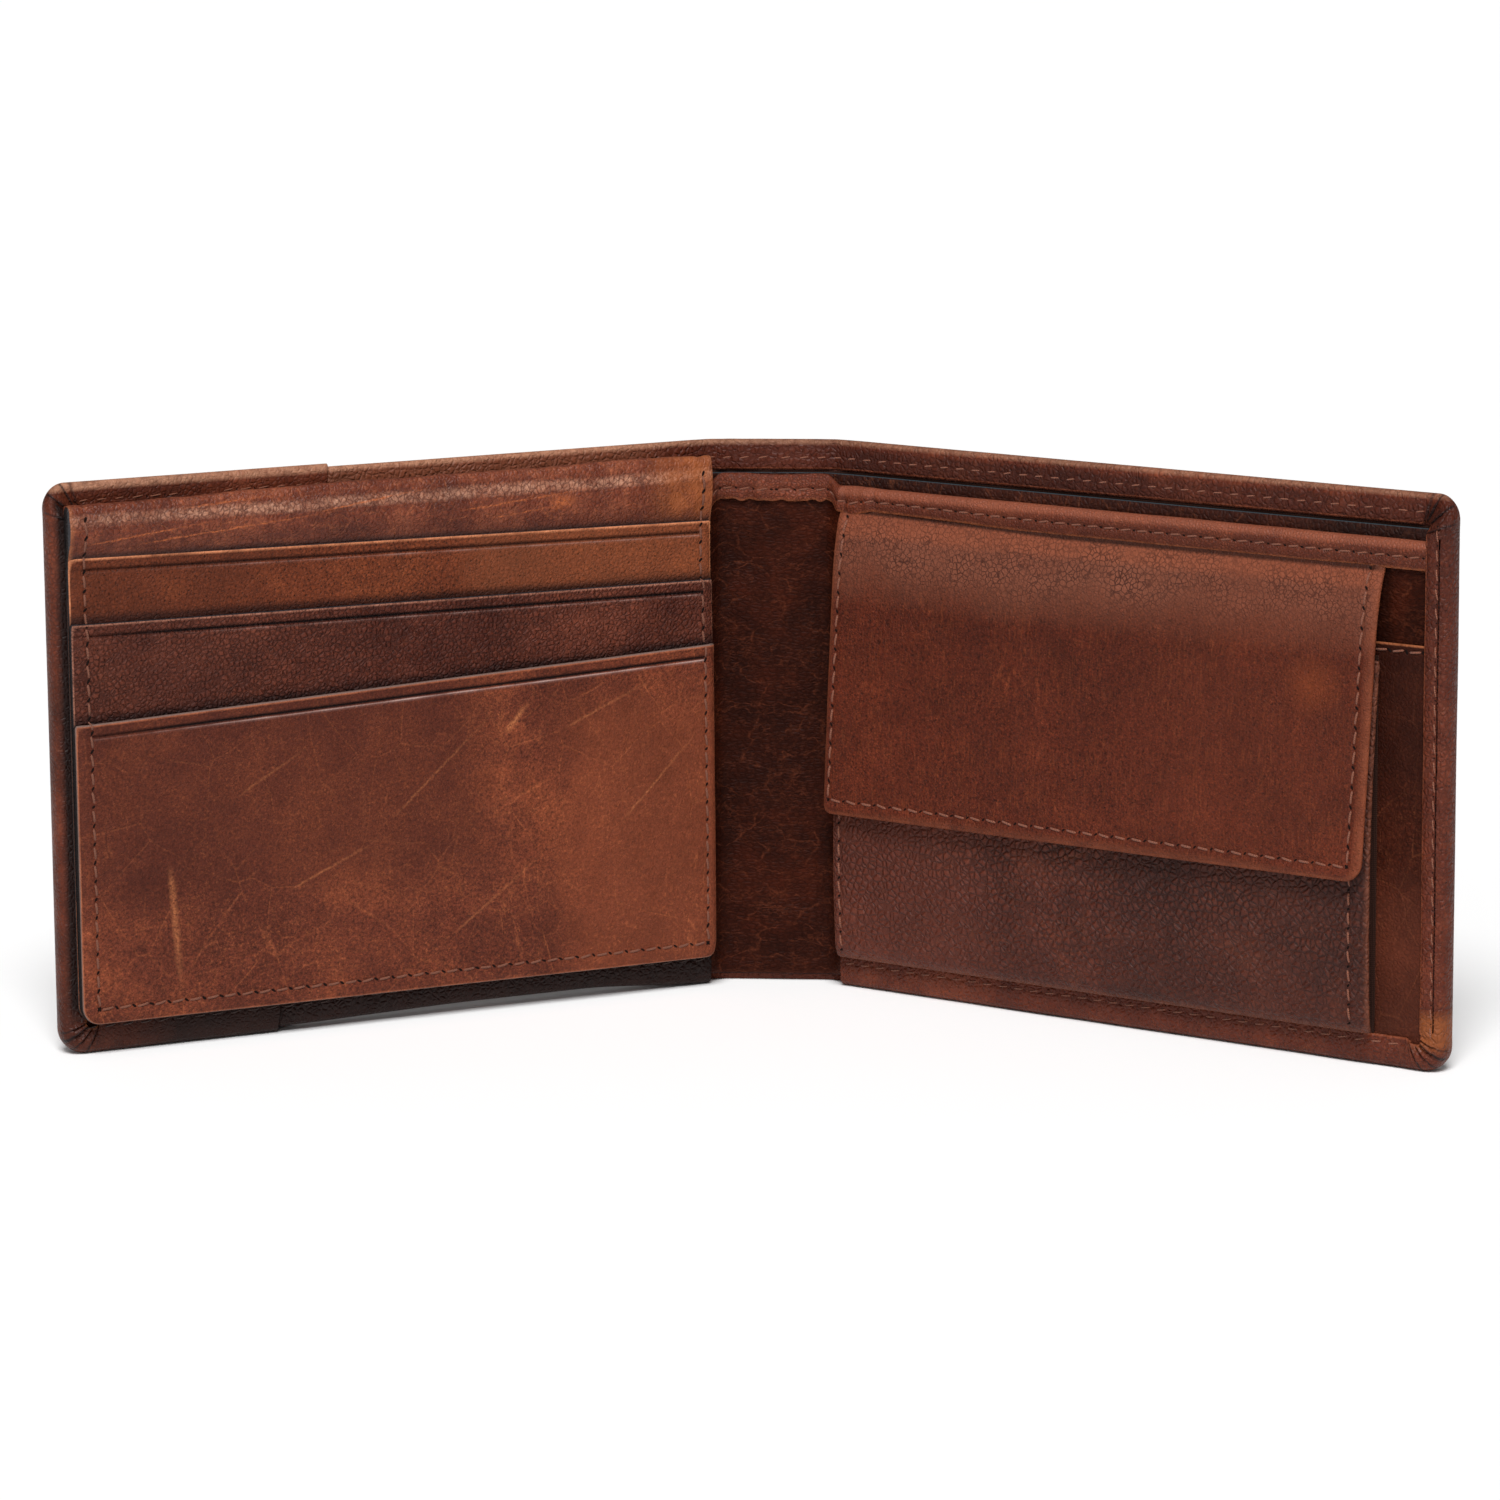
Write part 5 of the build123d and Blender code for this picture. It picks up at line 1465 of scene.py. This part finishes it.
def coin_flap():
    r = 0.45
    vs = corner_lines(0.0, COIN_SPAN - r, 1.1, COIN_CORNER - r, ("high",), seams=(COIN_SPAN - COIN_STITCH,))
    vs = np.unique(np.concatenate([vs[vs > 6.0], np.arange(0.0, 6.0, 0.45)]))
    vs = vs[np.concatenate([[True], np.diff(vs) > 0.04])]
    us = lines(COIN_START + r, COIN_END - r, 1.1, seams=(COIN_START + COIN_STITCH, COIN_END - COIN_STITCH))
    u, v = rounded_grid(us, vs, COIN_CORNER - r, top=True)
    piece = shell("coin_flap_cover", "right", u, v, lambda u, v, rim: coin_face(u, v),
                  lambda u, v, rim: -0.15 - 0.25 * (1 - ramp(coin_side(u, v), 0.6, 1.4)) * (v > 2.0),
                  COIN_FLAP, radius=r, shift=hang)
    done(piece, "coin_flap_leather", ["coin_flap_leather", "coin_flap_tab"], bend=COIN_BEND)
    u, v = rounded_grid(lines(COIN_START + 0.9, COIN_END - 0.9, 2.0), lines(4.0, COIN_SPAN - 0.9, 2.0),
                        2.0, top=True)
    lining = shell("coin_flap_lining_cloth", "right", u, v, level(-0.17), level(-0.50), LINING, radius=0.12,
                   shift=hang)
    done(lining, "lining_cloth", ["coin_flap_lining"], bend=COIN_BEND)
    near, far, low = COIN_START + COIN_STITCH, COIN_END - COIN_STITCH, COIN_SPAN - COIN_STITCH
    for label, nodes, points in (("inner_side", [], [(near, v) for v in np.arange(2.2, low, 0.5)]),
                                 ("bottom", ["coin_flap_thread"],
                                  [(u, low) for u in np.arange(near, far, 0.5)]),
                                 ("outer_side", [], [(far, v) for v in np.arange(2.2, low, 0.5)])):
        path = [(u, v, float(coin_face(np.float64(u), np.float64(v))) + 0.02) for u, v in points]
        stitch_row(f"coin_flap_stitches_{label}", "right", path, nodes, transform=hang,
                   hole_turn=0.8, bend=COIN_BEND)


coin_flap()

# ---- the press stud keeps its CAD shape ----
for node in ("snap_stud", "snap_post", "snap_socket"):
    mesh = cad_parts[node].data
    mesh.materials.clear()
    mesh.materials.append(BRASS)


# ---- floor, light, camera ----
def floor(size=6.0):
    """A plain pale square, size metres out from its middle."""
    mesh = bpy.data.meshes.new("floor")
    mesh.from_pydata([(-size, -size, 0), (size, -size, 0), (size, size, 0), (-size, size, 0)], [],
                     [(0, 1, 2, 3)])
    k = Nodes("floor")
    at = k.add("TexCoord").outputs["Object"]
    white = k.mix(k.cloud(at, 0.4), (0.975, 0.975, 0.975, 1), (0.985, 0.985, 0.985, 1))
    mesh.materials.append(k.finish(white, 0.9, gloss=0.1))
    linked("floor", mesh)


def sun(name, toward, strength, softness):
    """A large soft source, as far off as a studio's softbox seems to something this small."""
    data = bpy.data.lights.new(name, "SUN")
    data.energy, data.angle = strength, radians(softness)
    linked(name, data).rotation_euler = Vector(toward).to_track_quat("-Z", "Y").to_euler()


CAMERA_AT, CAMERA_TURNS, LENS = (0.08310, -0.9700, 0.23268), (-4.996, 10.942, -0.427), 149.7


def camera():
    """The photograph's view, solved from the wallet's own corners; the turns are yaw, pitch and roll."""
    yaw, pitch, roll = map(radians, CAMERA_TURNS)
    forward = Vector((sin(yaw) * cos(pitch), cos(yaw) * cos(pitch), -sin(pitch)))
    flat_right = Vector((cos(yaw), -sin(yaw), 0))
    flat_up = flat_right.cross(forward)
    right = cos(roll) * flat_right + sin(roll) * flat_up
    up = -sin(roll) * flat_right + cos(roll) * flat_up
    data = bpy.data.cameras.new("camera")
    data.lens, data.sensor_width, data.clip_start, data.clip_end = LENS, 36.0, 0.05, 50.0
    obj = linked("camera", data)
    obj.matrix_world = Matrix((right, up, -forward)).transposed().to_4x4()
    obj.location = CAMERA_AT
    bpy.context.scene.camera = obj


floor()
sun("key", toward=(-0.03, 0.75, -1.0), strength=3.3, softness=26.0)
sun("fill", toward=(0.10, 0.9, -0.3), strength=0.45, softness=50.0)
world = bpy.data.worlds.new("studio")
bpy.context.scene.world = world
world.use_nodes = True
background = world.node_tree.nodes["Background"].inputs
background["Color"].default_value, background["Strength"].default_value = (1, 1, 1, 1), 0.18
bpy.context.scene.view_settings.view_transform = "Standard"
bpy.context.scene.view_settings.look = "None"
camera()
